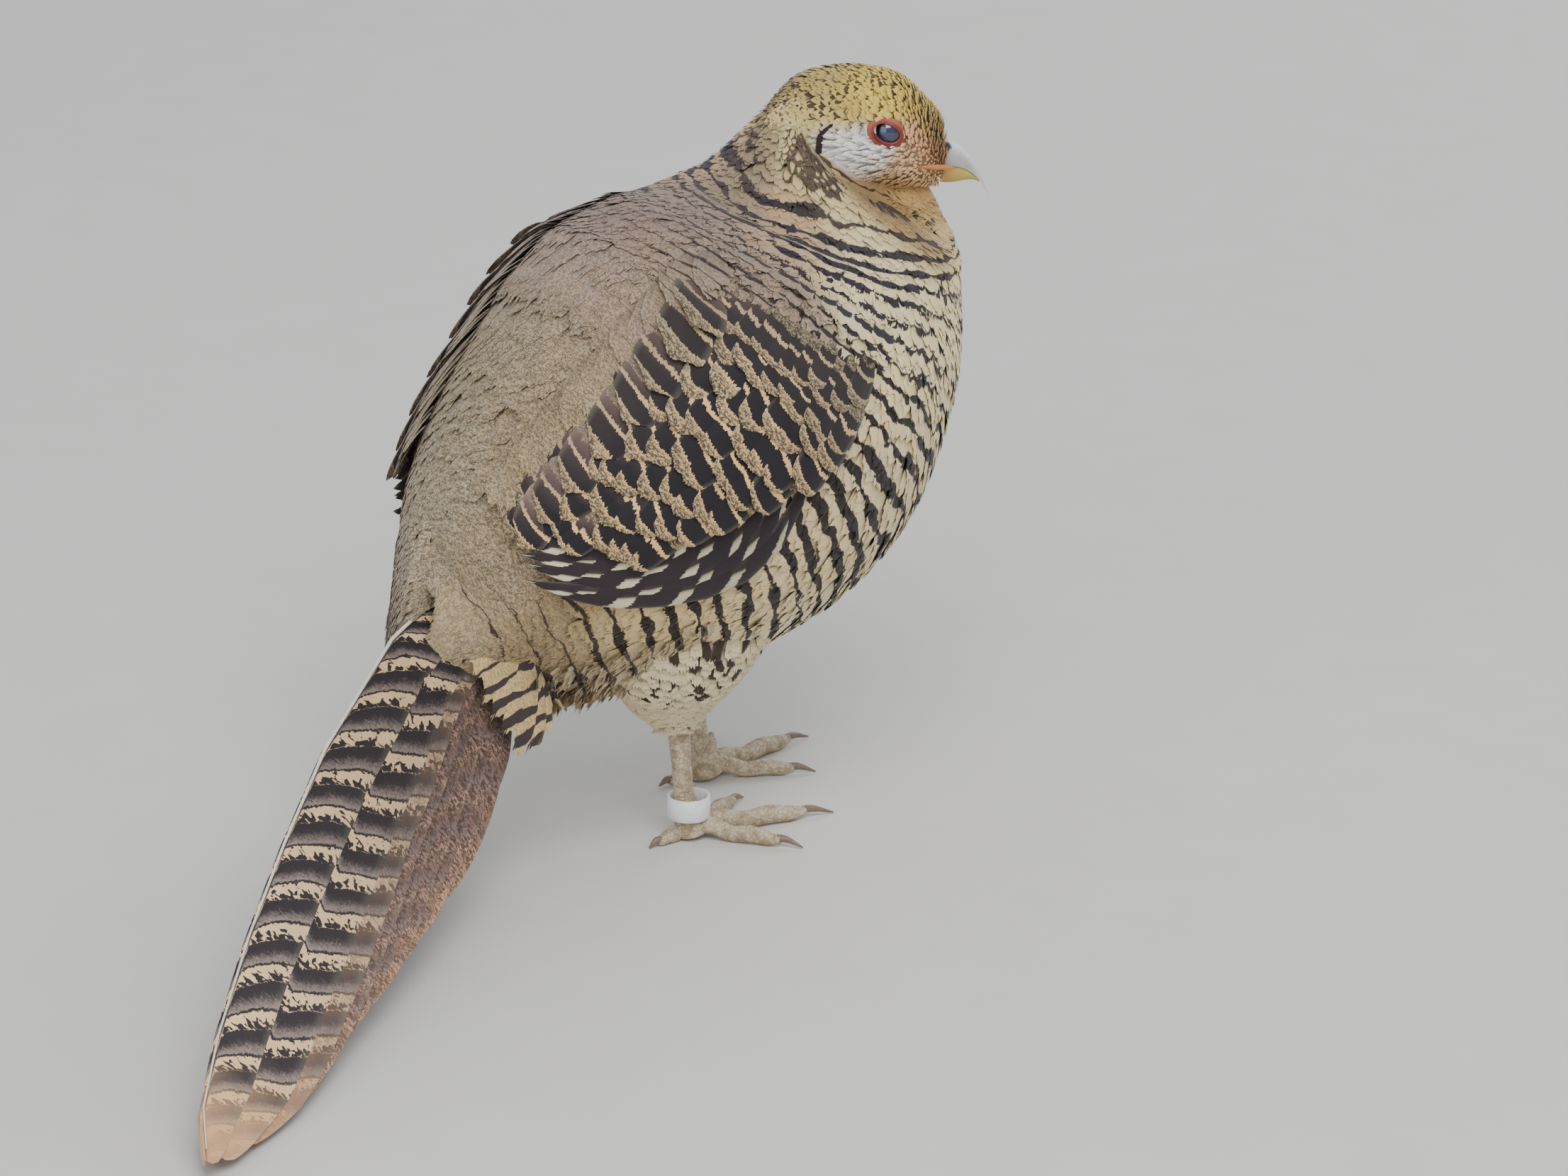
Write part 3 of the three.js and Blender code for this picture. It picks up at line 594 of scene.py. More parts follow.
def head_bars(along):
    """How far along the head a place lies, counted in bars of its feathers."""
    return along * HEAD_LENGTH / HEAD_ROW_PITCH


def as_laid(along):
    """The share that a place is dyed like, where it is its own."""
    return along


def hackle_share(along):
    """The share of the spine that a place on the hackle is dyed like."""
    return HACKLE_ENDS + HACKLE_SPAN * (1 - np.asarray(along))


def thigh_share(along):
    """The share of the spine that a place on a thigh is dyed like."""
    return along * 0 + THIGH_SHARE


def no_bars(along):
    return along * 0


flesh = [
    # surface, lift, rows, columns, ends, share it is dyed like, dyes, bars
    (trunk_point, -COAT_DEPTH, 90, 72, (0, 0.83), as_laid, TRUNK_DYES, trunk_bars),
    (hackle_point, -HACKLE_COAT_DEPTH, 40, 72, (0, 1.1), hackle_share, TRUNK_DYES, trunk_bars),
    (head_point, -HEAD_COAT_DEPTH, 60, 48, (0, 1), as_laid, HEAD_DYES, head_bars),
    (thigh_surface(RIGHT_FOOT), -COAT_DEPTH, 30, 36, (0, 1), thigh_share, TRUNK_DYES, no_bars),
    (thigh_surface(LEFT_FOOT), -COAT_DEPTH, 30, 36, (0, 1), thigh_share, TRUNK_DYES, no_bars),
]
lumps = []
dyed_points, dyed_values = [], []
for surface, lift, rows, columns, ends, dyed_as, table, bars in flesh:
    along, angle = round_grid(rows, columns, ends)
    angle = np.where(angle > 180, angle - 360, angle)
    points = surface(along, angle, lift)
    lumps.append(ring_piece("flesh", points, body_plumage))
    round_by = np.full(along.shape, THIGH_ROUND) if dyed_as is thigh_share else angle
    ground, mark, share, fleck = dye(table, dyed_as(along), round_by)
    phase = bars(dyed_as(along))
    dyed_points.append(points.reshape(-1, 3))
    values = np.concatenate([ground, mark, phase[..., None], share[..., None], fleck[..., None]], -1)
    dyed_values.append(values.reshape(-1, 9))
with bpy.context.temp_override(active_object=lumps[0], selected_editable_objects=lumps):
    bpy.ops.object.join()
skin = lumps[0]
skin.name = "skin"
remesh = skin.modifiers.new("one_skin", "REMESH")
remesh.mode = "VOXEL"
remesh.voxel_size = SKIN_GRAIN
smoothing = skin.modifiers.new("soften", "SMOOTH")
smoothing.factor = 0.5
smoothing.iterations = 4
evaluated = skin.evaluated_get(bpy.context.evaluated_depsgraph_get())
skin_mesh = bpy.data.meshes.new_from_object(evaluated)
skin.modifiers.clear()
skin.data = skin_mesh
skin_points = np.zeros(len(skin_mesh.vertices) * 3, np.float32)
skin_mesh.vertices.foreach_get("co", skin_points)
skin_points = (skin_points.reshape(-1, 3) - np.array(standing)) * 1000
dyed_points = np.concatenate(dyed_points)
dyed_values = np.concatenate(dyed_values)
tree = KDTree(len(dyed_points))
for i, point in enumerate(dyed_points):
    tree.insert(point, i)
tree.balance()
nearest = np.array([tree.find(point)[1] for point in skin_points])
skin_values = dyed_values[nearest]
for label, first in (("ground", 0), ("mark", 3)):
    layer = skin_mesh.color_attributes.new(label, "FLOAT_COLOR", "POINT")
    solid = np.concatenate([skin_values[:, first:first + 3], np.ones((len(skin_values), 1))], 1)
    layer.data.foreach_set("color", solid.astype(np.float32).ravel())
layer = skin_mesh.attributes.new("rule", "FLOAT_VECTOR", "POINT")
layer.data.foreach_set("vector", skin_values[:, 6:9].astype(np.float32).ravel())
for label, spot in (("vane", (0.5, 0.6)), ("size", (3.0, 3.0))):
    layer = skin_mesh.uv_layers.new(name=label)
    layer.data.foreach_set("uv", np.tile(spot, len(skin_mesh.loops)).astype(np.float32))
skin_mesh.polygons.foreach_set("use_smooth", np.ones(len(skin_mesh.polygons), bool))
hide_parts("torso", "neck", "head", "thigh_right", "thigh_left")

# Body coat: small soft feathers in rows that lap like tiles from the neck to the tail. Each is a
# thin lens with a ragged tip, rooted in the skin and lifted a little where it ends.
SMALL_VANE = [(0, 0.4), (0.3, 0.85), (0.55, 1), (0.76, 1), (0.9, 0.88), (1, 0.6)]
PATCH = 0.003


def grow(name, surface, roots, tips, half, lifts, shape, columns, crown, paint, finish,
         fringe=0.2, rounding=0.2, bend=None, patch=(PATCH, PATCH), seed=1, settle=0.7):
    """Many feathers as one piece. Roots and tips are places on the surface, half is a half width in
    degrees or millimetres across it, lifts are the heights of root and tip off the surface, and a
    feather that settles lies flat sooner."""
    rng = np.random.default_rng(seed)
    roots, tips = np.asarray(roots, float), np.asarray(tips, float)
    count, rows = len(roots), len(shape)
    run = np.array([s for s, _ in shape])[None, :, None]
    width = np.array([w for _, w in shape])[None, :, None]
    u = np.linspace(-1, 1, columns)[None, None, :]
    comb = 0.5 * (np.arange(columns) % 2) + 0.5 * rng.random((count, 1, columns))
    share = run * (1 - (comb * fringe + rounding * u**2) * run**5)
    bow = 4 * share * (1 - share)
    bend = np.zeros((count, 2)) if bend is None else bend
    half = np.broadcast_to(half, count)[:, None, None]
    lifts = np.broadcast_to(lifts, (count, 2))[:, :, None, None]
    along, middle = [
        roots[:, n, None, None] * (1 - share) + tips[:, n, None, None] * share + bend[:, n, None, None] * bow
        for n in (0, 1)
    ]
    across = middle + u * width * half
    inner = 1 - (np.abs(u) > 0.99) * 1.0
    inner = inner * np.array([0] + [1] * (rows - 2) + [0])[None, :, None]
    rise = lifts[:, 0] + (lifts[:, 1] - lifts[:, 0]) * share**settle
    rise = rise + crown * (1 - u**2) * width + 0.1 * inner
    points = surface(along, across, rise)
    above = surface(along, across, rise + 1) - points
    a, b, c, d = points[:, 2, 1], points[:, 2, 2], points[:, 3, 2], above[:, 2, 2]
    upright = np.einsum("ij,ij->i", np.cross(b - a, c - b), d).mean() > 0
    grid = np.arange(rows * columns).reshape(rows, columns)
    quads = np.stack([grid[:-1, :-1], grid[:-1, 1:], grid[1:, 1:], grid[1:, :-1]], -1).reshape(-1, 4)
    under = np.stack([grid[:-1, 0], grid[1:, 0], grid[1:, -1], grid[:-1, -1]], -1)
    faces = [*quads, *under, grid[0, ::-1], grid[-1]]
    if not upright:
        faces = [face[::-1] for face in faces]
    pattern = np.concatenate(faces)
    corners = (pattern[None, :] + np.arange(count)[:, None] * rows * columns).ravel()
    sizes = np.tile([len(face) for face in faces], count)
    reach_mm = np.linalg.norm(points[:, -1, columns // 2] - points[:, 0, columns // 2], axis=-1)
    wide_mm = np.linalg.norm(points[:, rows // 2, -1] - points[:, rows // 2, 0], axis=-1) / 2
    vane = np.stack(np.broadcast_arrays((u + 1) / 2, share), -1)
    apart = rng.random((count, 2)) * 90
    size = np.stack(np.broadcast_arrays(
        u * width * wide_mm[:, None, None], share * reach_mm[:, None, None] + apart[:, 1, None, None],
    ), -1)
    bake = np.stack(np.broadcast_arrays(
        0.5 + 0.46 * roots[:, 1, None, None] / 180 + patch[0] * u / 2,
        0.03 + 0.9 * np.clip(roots[:, 0, None, None], 0, 1) + patch[1] * share,
    ), -1)
    ground, mark, rule = paint(along, across, u, share, rng, reach_mm[:, None, None])

    def flat(values):
        every = (count, rows, columns, values.shape[-1])
        return np.broadcast_to(values, every).reshape(-1, values.shape[-1])

    return build_piece(
        name, points.reshape(-1, 3), corners, sizes, finish,
        {"OFBake": flat(bake), "vane": flat(vane), "size": flat(size)},
        {"ground": flat(ground), "mark": flat(mark)}, flat(rule),
    )


def dyed(along, ground, mark, phase, dark, fleck):
    """Ground, marking colour and bar rule at every point of the feathers."""
    rule = np.stack(np.broadcast_arrays(phase, dark, fleck), -1)
    return [np.broadcast_to(values, (*along.shape, 3)) for values in (ground, mark, rule)]


def uneven(rng, count, by):
    """A brightness for each feather, even to within a share."""
    return 1 + (rng.random((count, 1, 1, 1)) - 0.5) * by


def bars_run_on(along, angle):
    return along * 0


TIP_PHASE = 0.72


def coat_paint(table, bars, dyed_as=as_laid, own=bars_run_on):
    """The dyes of a coat. Bars run on from feather to feather, or each feather has its own."""
    def paint(along, across, u, share, rng, reach_mm):
        middle = along.shape[2] // 2
        by_itself = own(along[:, -1:, middle:middle + 1], np.abs(across[:, -1:, middle:middle + 1]))
        along = dyed_as(along)
        ground, mark, dark, fleck = dye(table, along, across)
        bright = uneven(rng, len(along), 0.14)
        warm = uneven(rng, len(along), np.array([0.06, 0, -0.1]))
        phase = bars(along) + (rng.random((len(along), 1, 1)) - 0.5) * 0.1
        shift = (phase[:, -1:, middle:middle + 1] - TIP_PHASE + 0.5) % 1 - 0.5
        phase = phase - by_itself * shift - 0.35 * by_itself * u**2
        return dyed(along, ground * bright * warm, mark * bright, phase, dark, fleck)
    return paint


def lay_rows(surface, first, last, pitch, length, half, rng, keep=None, ahead=-1, least_scale=120):
    """Roots, tips and half widths of feathers in staggered rows between two places on a surface."""
    roots, tips, halves = [], [], []
    span = np.linspace(first, last, max(2, int(abs(last - first) / pitch)))
    for number, place in enumerate(span):
        ring = surface(np.full(64, place), np.linspace(-180, 180, 64))
        steps = np.linalg.norm(np.diff(ring, axis=0), axis=1)
        girth = np.concatenate([[0], np.cumsum(steps)])
        wide = np.interp(place, *half)
        count = max(6, int(girth[-1] / (1.25 * wide)))
        arc = (np.arange(count) + 0.5 * (number % 2) + rng.normal(0, 0.13, count)) / count
        angle = np.interp(arc % 1, girth / girth[-1], np.linspace(-180, 180, 64))
        at = place + rng.normal(0, 0.3, count) * pitch
        scale = np.linalg.norm(surface(at + 0.004, angle) - surface(at - 0.004, angle), axis=1) / 0.008
        long = np.interp(place, *length) * (0.9 + 0.2 * rng.random(count))
        reach = ahead * long / np.maximum(scale, least_scale)
        swing = rng.normal(0, 2.2, count)
        ok = keep(at, angle) if keep else np.ones(count, bool)
        roots.append(np.stack([at, angle], 1)[ok])
        tips.append(np.stack([at + reach, angle + swing], 1)[ok])
        per_degree = np.linalg.norm(surface(at, angle + 2) - surface(at, angle - 2), axis=1) / 4
        halves.append((wide / np.maximum(per_degree, 0.12))[ok])
    return np.concatenate(roots), np.concatenate(tips), np.concatenate(halves)


def outside_wing(at, angle):
    side = np.abs(angle)
    covered = (at > 0.32) & (at < 0.55) & (side > 50) & (side < 76)
    return ~covered


def on_breast(along, angle):
    """How far each feather of the trunk carries its own bar: on the breast, less over the shoulders."""
    return np.clip((along - 0.58) / 0.1, 0, 1) * (0.5 + 0.35 * np.clip((angle - 92) / 22, 0, 1))


LENGTHS = ([0, 0.1, 0.5, 0.72, 0.85], [13, 16, 17, 14, 12])
HALVES = ([0, 0.1, 0.5, 0.72, 0.85], [2.5, 2.8, 3.0, 2.8, 2.3])
rng = np.random.default_rng(7)
half_row = ROW_PITCH / 2 / SPINE_LENGTH
roots, tips, halves = lay_rows(trunk_point, 0.8, 0.02, half_row, LENGTHS, HALVES, rng, outside_wing)
# Rear belly feathers are downy, the trunk's end is rounded over, and shoulders ride over the wings.
round_by = np.abs(roots[:, 1])
downy = np.clip((round_by - 115) / 30, 0, 1) * np.clip((0.42 - roots[:, 0]) / 0.15, 0, 1)
past_end = np.clip((round_by - 35) / 40, 0, 1)
tips[:, 0] = np.maximum(tips[:, 0] - downy * 0.025, -0.02 - 0.06 * past_end)
over_wing = (round_by > 33) & (round_by < 88) & (roots[:, 0] > 0.56) & (roots[:, 0] < 0.72)
on_flank = np.clip((round_by - 70) / 40, 0, 1)
ends = 0.05 + rng.random(len(roots)) * 0.2 + on_flank * 0.3 + downy + over_wing * 2.2
coat_lifts = np.stack([np.full(len(roots), -COAT_DEPTH), ends], 1)
COAT_REGIONS = [
    # name, slot, its feathers, points across a feather, raggedness
    ("mantle_feathers", "body_feathers", (roots[:, 0] > 0.4) & (round_by < 90), 7, 0.15),
    ("back_feathers", "body_feathers", (roots[:, 0] <= 0.4) & (round_by < 90), 9, 0.22),
    ("breast_feathers", "belly_feathers", (roots[:, 0] > 0.45) & (round_by >= 90), 7, 0.15),
    ("belly_feathers", "belly_feathers", (roots[:, 0] <= 0.45) & (round_by >= 90), 7, 0.35),
]
for number, (label, slot, chosen, columns, fringe) in enumerate(COAT_REGIONS):
    grow(
        label, trunk_point, roots[chosen], tips[chosen], halves[chosen], coat_lifts[chosen],
        SMALL_VANE, columns, 0.15, coat_paint(TRUNK_DYES, trunk_bars, own=on_breast), body_plumage,
        fringe=fringe, seed=20 + number,
    )

# Hackle coat: short feathers under the head that grow longer down the neck. Where the jaw bulges
# over the neck's own surface, they are rooted in the skin that stands there.
HACKLE_LENGTHS = ([0, 0.35, 1], [4.5, 9, 13])
HACKLE_HALVES = ([0, 0.35, 1], [1.25, 1.8, 2.3])
HACKLE_REACH = 0.45
hackle_roots, hackle_tips, hackle_halves = lay_rows(
    hackle_point, 0, 1, 0.045, HACKLE_LENGTHS, HACKLE_HALVES, rng, ahead=1, least_scale=14,
)
hackle_tips[:, 0] = np.minimum(hackle_tips[:, 0], hackle_roots[:, 0] + HACKLE_REACH)
hackle_ends = 0.3 + rng.random(len(hackle_roots)) * 0.4
skin_tree = BVHTree.FromPolygons(skin_points.tolist(), [tuple(face.vertices) for face in skin_mesh.polygons])


def skin_height(surface, places, seen_from=12.0):
    """How far the skin stands over a surface at some places, in millimetres."""
    outside = surface(places[:, 0], places[:, 1], np.full(len(places), seen_from))
    inwards = unit(surface(places[:, 0], places[:, 1], np.zeros(len(places))) - outside)
    hits = [skin_tree.ray_cast(Vector(o), Vector(i), 2 * seen_from)[3] for o, i in zip(outside, inwards)]
    return np.array([-seen_from if hit is None else seen_from - hit for hit in hits])


def under_jaw(along, angle):
    """How far each feather of the hackle carries its own bar: only near the head."""
    return np.clip((0.75 - along) / 0.25, 0, 1)


over_root = np.maximum(skin_height(hackle_point, hackle_roots) - 0.8, -HACKLE_COAT_DEPTH)
over_tip = np.maximum(skin_height(hackle_point, hackle_tips) + 2.4, 0)
grow(
    "hackle_feathers", hackle_point, hackle_roots, hackle_tips, hackle_halves,
    np.stack([over_root, over_tip + hackle_ends], 1), SMALL_VANE, 7, 0.15,
    coat_paint(TRUNK_DYES, trunk_bars, hackle_share, under_jaw), body_plumage, seed=26,
)

# Head coat: the smallest feathers, scale-like on crown and nape and hair-like on cheeks and throat.
TINY_VANE = [(0, 0.5), (0.4, 1), (0.75, 0.9), (0.93, 0.6), (1, 0.25)]
EYE_FORWARD, EYE_UP, EYE_OUT = 4.2, 2.2, 14.6
EYE_SLANT = math.radians(22)
EYE_HALF_LENGTH, EYE_HALF_HEIGHT = 6.2, 4.4
BILL_FROM, BILL_BESIDE = 26.5, 5


def eye_oval(points):
    """How far points of the head lie from the middle of the nearer eye, as a share of its bare rim."""
    own = (points - np.array(HEAD_PLACE)) @ HEAD_AXES
    forward, up = -own[..., 1] - EYE_FORWARD, own[..., 2] - EYE_UP
    long = forward * math.cos(EYE_SLANT) - up * math.sin(EYE_SLANT)
    high = forward * math.sin(EYE_SLANT) + up * math.cos(EYE_SLANT)
    return np.hypot(long / EYE_HALF_LENGTH, high / EYE_HALF_HEIGHT)


def outside_face(at, angle):
    """Where feathers grow on the head: not in the eye, in the bill or deep under the hackle."""
    root = head_point(at, angle)
    own = (root - np.array(HEAD_PLACE)) @ HEAD_AXES
    in_bill = (-own[..., 1] > BILL_FROM) & (np.abs(own[..., 0]) < BILL_BESIDE)
    under_hackle = hackle_leaves(angle) - 0.25 - 0.4 * (np.abs(angle) > 98)
    return (eye_oval(root) > 1.02) & ~in_bill & (at > under_hackle)


head_rng = np.random.default_rng(11)
HEAD_LENGTHS = ([0, 0.3, 0.7, 1], [8.0, 7.5, 6.2, 5.0])
HEAD_HALVES = ([0, 0.3, 0.7, 1], [1.9, 1.5, 1.1, 0.7])
half_row = HEAD_ROW_PITCH / 2 / HEAD_LENGTH
head_roots, head_tips, head_halves = lay_rows(
    head_point, 0.99, 0.06, half_row, HEAD_LENGTHS, HEAD_HALVES, head_rng, outside_face,
)
low = np.abs(head_roots[:, 1]) > 85
head_halves = np.where(low, head_halves * 0.6, head_halves)
head_tips = np.where(low[:, None], head_roots + (head_tips - head_roots) * 1.3, head_tips)
over_eye = eye_oval(head_point(head_tips[:, 0], head_tips[:, 1])) < 0.97
head_tips[over_eye] = head_roots[over_eye] * 0.6 + head_tips[over_eye] * 0.4


def mostly_own(along, angle):
    """How far each feather of the head carries its own bar."""
    return along * 0 + 0.7


for label, chosen, fringe in (("crown_feathers", ~low, 0.12), ("cheek_feathers", low, 0.3)):
    ends = 0.05 + head_rng.random(chosen.sum()) * 0.25
    grow(
        label, head_point, head_roots[chosen], head_tips[chosen], head_halves[chosen],
        np.stack([np.full(len(ends), -HEAD_COAT_DEPTH), ends], 1), TINY_VANE, 5, 0.12,
        coat_paint(HEAD_DYES, head_bars, own=mostly_own), body_plumage,
        fringe=fringe, seed=31,
    )

# Ear lines: a row of small dark feathers that bounds the white ear patch behind on each side.
EAR_LINE_FEATHERS = 44
EAR_LINE_ROUND = (77, 113)
EAR_LINE_SHARE = 0.345


def ear_paint(along, across, u, share, rng, reach_mm):
    return dyed(along, tone("2f2722"), tone("1d1815"), along, 0.3, 0.3)


for name, side in (("right", -1), ("left", 1)):
    round_by = np.linspace(*EAR_LINE_ROUND, EAR_LINE_FEATHERS)
    behind = EAR_LINE_SHARE + 0.045 * ((92 - round_by) / 16).clip(0) ** 2
    grow(
        f"ear_line_{name}", head_point, np.stack([behind, side * round_by], 1),
        np.stack([behind - 0.02, side * (round_by + 1.5)], 1), 1.7, (-0.2, 0.55), TINY_VANE, 5, 0.1,
        ear_paint, body_plumage, seed=34,
    )

# Wings: laid along the flanks, their quills and coverts lapping in rows, each row over the next.
WING_STAND = 7
TERTIALS = 8
SCAPULARS = 90
WING_TIERS = [
    # feathers, roots and tips at the upper and lower end, half width, lift at the tips
    (8, [(0.42, 62), (0.49, 90)], [(0.205, 50), (0.185, 66)], 4.6, 5.4, "quill"),
    (10, [(0.38, 40), (0.44, 76)], [(0.195, 47), (0.29, 80)], 5.2, 7.8, "covert"),
    (10, [(0.42, 38), (0.48, 77)], [(0.235, 43), (0.335, 80)], 5.2, 8.1, "covert"),
    (10, [(0.455, 39), (0.52, 78)], [(0.28, 43), (0.38, 81)], 5.2, 8.3, "covert"),
    (10, [(0.49, 37), (0.555, 80)], [(0.315, 39), (0.425, 83)], 5.2, 8.4, "covert"),
    (10, [(0.525, 38), (0.585, 82)], [(0.37, 40), (0.47, 85)], 5.2, 8.2, "covert"),
    (11, [(0.56, 36), (0.61, 83)], [(0.425, 37), (0.51, 85)], 4.8, 7.4, "covert"),
    (12, [(0.595, 37), (0.635, 83)], [(0.475, 39), (0.54, 85)], 4.2, 6.4, "covert"),
    (13, [(0.625, 36), (0.655, 82)], [(0.525, 37), (0.575, 83)], 3.8, 5.2, "covert"),
]
LONG_VANE = [(0, 0.4), (0.15, 0.7), (0.3, 0.92), (0.45, 1), (0.6, 1), (0.72, 0.97), (0.82, 0.88),
             (0.9, 0.72), (0.96, 0.48), (1, 0.2)]
BLUNT_VANE = [(0, 0.4), (0.15, 0.7), (0.3, 0.92), (0.45, 1), (0.6, 1), (0.74, 1), (0.85, 0.96),
              (0.93, 0.84), (0.98, 0.62), (1, 0.4)]
wing_plumage = plumage("wing_plumage", "wing", 0.7)


QUILL_BAR, COVERT_BAR = 19, 17
WING_FREE_FROM = 0.36


def blend(first, second, share):
    return first * (1 - share) + second * share


def quill_paint(along, across, u, share, rng, reach_mm):
    """Dark quills with cream spots along the outer web, set off from quill to quill."""
    bright = uneven(rng, len(along), 0.2)
    jitter = rng.random((len(along), 1, 1)) - 0.5
    outer_web = np.clip((u + 0.15) / 0.2, 0, 1)[..., None]
    mark = tone("30272a")
    ground = blend(mark, tone("e2d6b4"), outer_web)
    odd = np.arange(len(along))[:, None, None] % 2
    from_tip = (1 - share) * reach_mm
    phase = from_tip / QUILL_BAR + jitter * 0.1 + 0.5 * odd + 0.3 * u + 0.04
    return dyed(along, ground * bright, mark * bright, phase, 1, 0.1)


def covert_paint(along, across, u, share, rng, reach_mm):
    """Black bars between buff ones that fray into worms; paler and browner towards the back."""
    bright = uneven(rng, len(along), 0.2)
    jitter = rng.random((len(along), 1, 1)) - 0.5
    from_tip = (1 - share) * reach_mm
    side = np.abs(across)
    upper = np.clip((56 - side) / 16, 0, 1)[..., None]
    front = np.clip((along - 0.5) / 0.1, 0, 1)[..., None]
    rear = (np.clip((0.42 - along) / 0.12, 0, 1) * np.clip((72 - side) / 14, 0, 1))[..., None]
    base = np.clip((from_tip[..., None] - 11) / 6, 0, 1) * np.maximum(rear, upper * 0.8)
    upper = np.maximum(upper, front)
    ground = blend(blend(tone("e0b67c"), tone("ad9672"), upper), tone("8f766c"), base)
    mark = blend(blend(tone("1f1b1f"), tone("4a3b33"), upper * 0.3), tone("7d655c"), base * 0.75)
    phase = from_tip / COVERT_BAR + jitter * 0.14 + 0.03 * u - 0.12 * u**2
    return dyed(along, ground * bright, mark * bright, phase, 1, 0.85)


for name, side in (("right", -1), ("left", 1)):
    def wing_surface(along, angle, lift, side=side):
        stand = WING_STAND * np.maximum(0, 1 - along / WING_FREE_FROM) ** 1.5
        return trunk_point(along, side * angle, lift + stand)

    for tier, (count, root_ends, tip_ends, half, lift, kind) in enumerate(WING_TIERS):
        tier_rng = np.random.default_rng(50 + tier)
        spread = np.linspace(0, 1, count)[:, None] + tier_rng.normal(0, 0.008, (count, 1))
        tier_roots = np.array(root_ends[0]) * (1 - spread) + np.array(root_ends[1]) * spread
        tier_tips = np.array(tip_ends[0]) * (1 - spread) + np.array(tip_ends[1]) * spread
        tier_tips[:, 0] += tier_rng.normal(0, 0.006, count)
        flat_top = 0.45 + 0.55 * np.clip((tier_roots[:, 1] - 36) / 16, 0, 1)
        tier_lifts = np.stack([np.full(count, 0.6), (lift - 1.2) * flat_top], 1)
        sweep = np.stack([np.zeros(count), (16 + 4 * spread[:, 0]) * (kind == "quill")], 1)
        piece = grow(
            f"wing_{name}_{kind}s_{tier}", wing_surface, tier_roots, tier_tips, half, tier_lifts,
            LONG_VANE if kind == "quill" else BLUNT_VANE, 11, 0.8,
            quill_paint if kind == "quill" else covert_paint, wing_plumage,
            fringe=0.025, rounding=0.03, bend=sweep, patch=(0.02, 0.09), seed=60 + tier, settle=1.2,
        )
        if tier == 0:
            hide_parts(f"wing_{name}")

    # The broad tertials close the wing's upper edge against the back.
    rank = np.arange(TERTIALS)[:, None]
    tertial_roots = np.array([[0.6, 36]]) + rank * np.array([[-0.038, 1.2]])
    tertial_tips = np.array([[0.5, 42]]) + rank * np.array([[-0.044, 1.6]])
    grow(
        f"wing_{name}_tertials", wing_surface, tertial_roots, tertial_tips, 8, (1, 7.4), BLUNT_VANE,
        13, 0.9, covert_paint, wing_plumage, fringe=0.02, rounding=0.12,
        patch=(0.02, 0.06), seed=59, settle=1.2,
    )
    # The soft shoulder feathers lie over the seam between back and wing.
    shoulder_rng = np.random.default_rng(57)
    place = np.linspace(0.26, 0.64, SCAPULARS) + shoulder_rng.normal(0, 0.008, SCAPULARS)
    high = 26 + 7 * shoulder_rng.random(SCAPULARS)
    shoulder_tips = np.stack([place - 0.055 - 0.02 * shoulder_rng.random(SCAPULARS), high + 9], 1)
    shoulder_lifts = np.stack([np.full(SCAPULARS, 0.2), 2.5 + 2.5 * shoulder_rng.random(SCAPULARS)], 1)
    grow(
        f"scapulars_{name}", wing_surface, np.stack([place, high], 1), shoulder_tips, 3.6,
        shoulder_lifts, SMALL_VANE, 9, 0.4, coat_paint(TRUNK_DYES, trunk_bars), body_plumage,
        fringe=0.12, seed=58,
    )

# Tail: nine pairs of long quills, folded like a roof and laid on the ground. The topmost quill
# shows its pale shaft.
TAIL_RIDGE = np.array([
    [0, 84, 112], [-12, 120.5, 99], [-52, 173, 82], [-85, 210, 66],
    [-114.5, 242, 50], [-146, 273, 33], [-167, 291.5, 20], [-182.5, 299.7, 9],
], float)
RIGHT_SLOPE = (52, 44)
LEFT_SLOPE = (64, 80)
LEFT_FOLD = (0.6, 0.5)
TAIL_PAIRS = [
    # share of the ridge reached, distance down the slope at root, half way and tip, half width
    (1, 7, 6.5, -0.5, 14), (0.96, 13, 23, 7, 15), (0.87, 16, 33, 18, 14), (0.78, 18, 39, 26, 13),
    (0.68, 20, 44, 34, 12), (0.59, 24, 50, 41, 11), (0.51, 27, 54, 47, 10), (0.43, 30, 58, 53, 9),
    (0.36, 32, 61, 57, 8),
]
TAIL_LAYER = 1.25
OUTER_LOOK = (0, 0.05, 0.5, 1)
BAR_START = (0, 0.1, 0.75, 0.2)
tail_ahead = unit(np.gradient(TAIL_RIDGE, axis=0))
TAIL_RIGHT = unit(np.cross((0.0, 0.0, 1.0), tail_ahead))
TAIL_UP = unit(np.cross(tail_ahead, TAIL_RIGHT))


def tail_point(along, across, lift):
    """A point of the tail's roof: share of the ridge, millimetres down the slope, more to the right."""
    along, across, lift = np.broadcast_arrays(along, across, lift)
    last = len(TAIL_RIDGE) - 1
    place = np.clip(along, 0, 1) * last
    near = np.minimum(place.astype(int), last - 1)
    w = (place - near)[..., None]
    ends = []
    for n in (near, near + 1):
        start = np.where(across > 0, RIGHT_SLOPE[0], LEFT_SLOPE[0])
        end = np.where(across > 0, RIGHT_SLOPE[1], LEFT_SLOPE[1])
        slope = np.radians(start + (end - start) * n / last) * (across != 0)
        aside_by = across * np.cos(slope) + np.sign(across) * lift * np.sin(slope)
        up_by = -np.abs(across) * np.sin(slope) + lift * np.cos(slope)
        ends.append(TAIL_RIDGE[n] + TAIL_RIGHT[n] * aside_by[..., None] + TAIL_UP[n] * up_by[..., None])
    point = ends[0] * (1 - w) + ends[1] * w
    point[..., 2] = np.maximum(point[..., 2], 0.15 + 0.08 * (lift + 12))
    return point


tail_plumage = plumage("tail_plumage", "tail", 0.62)


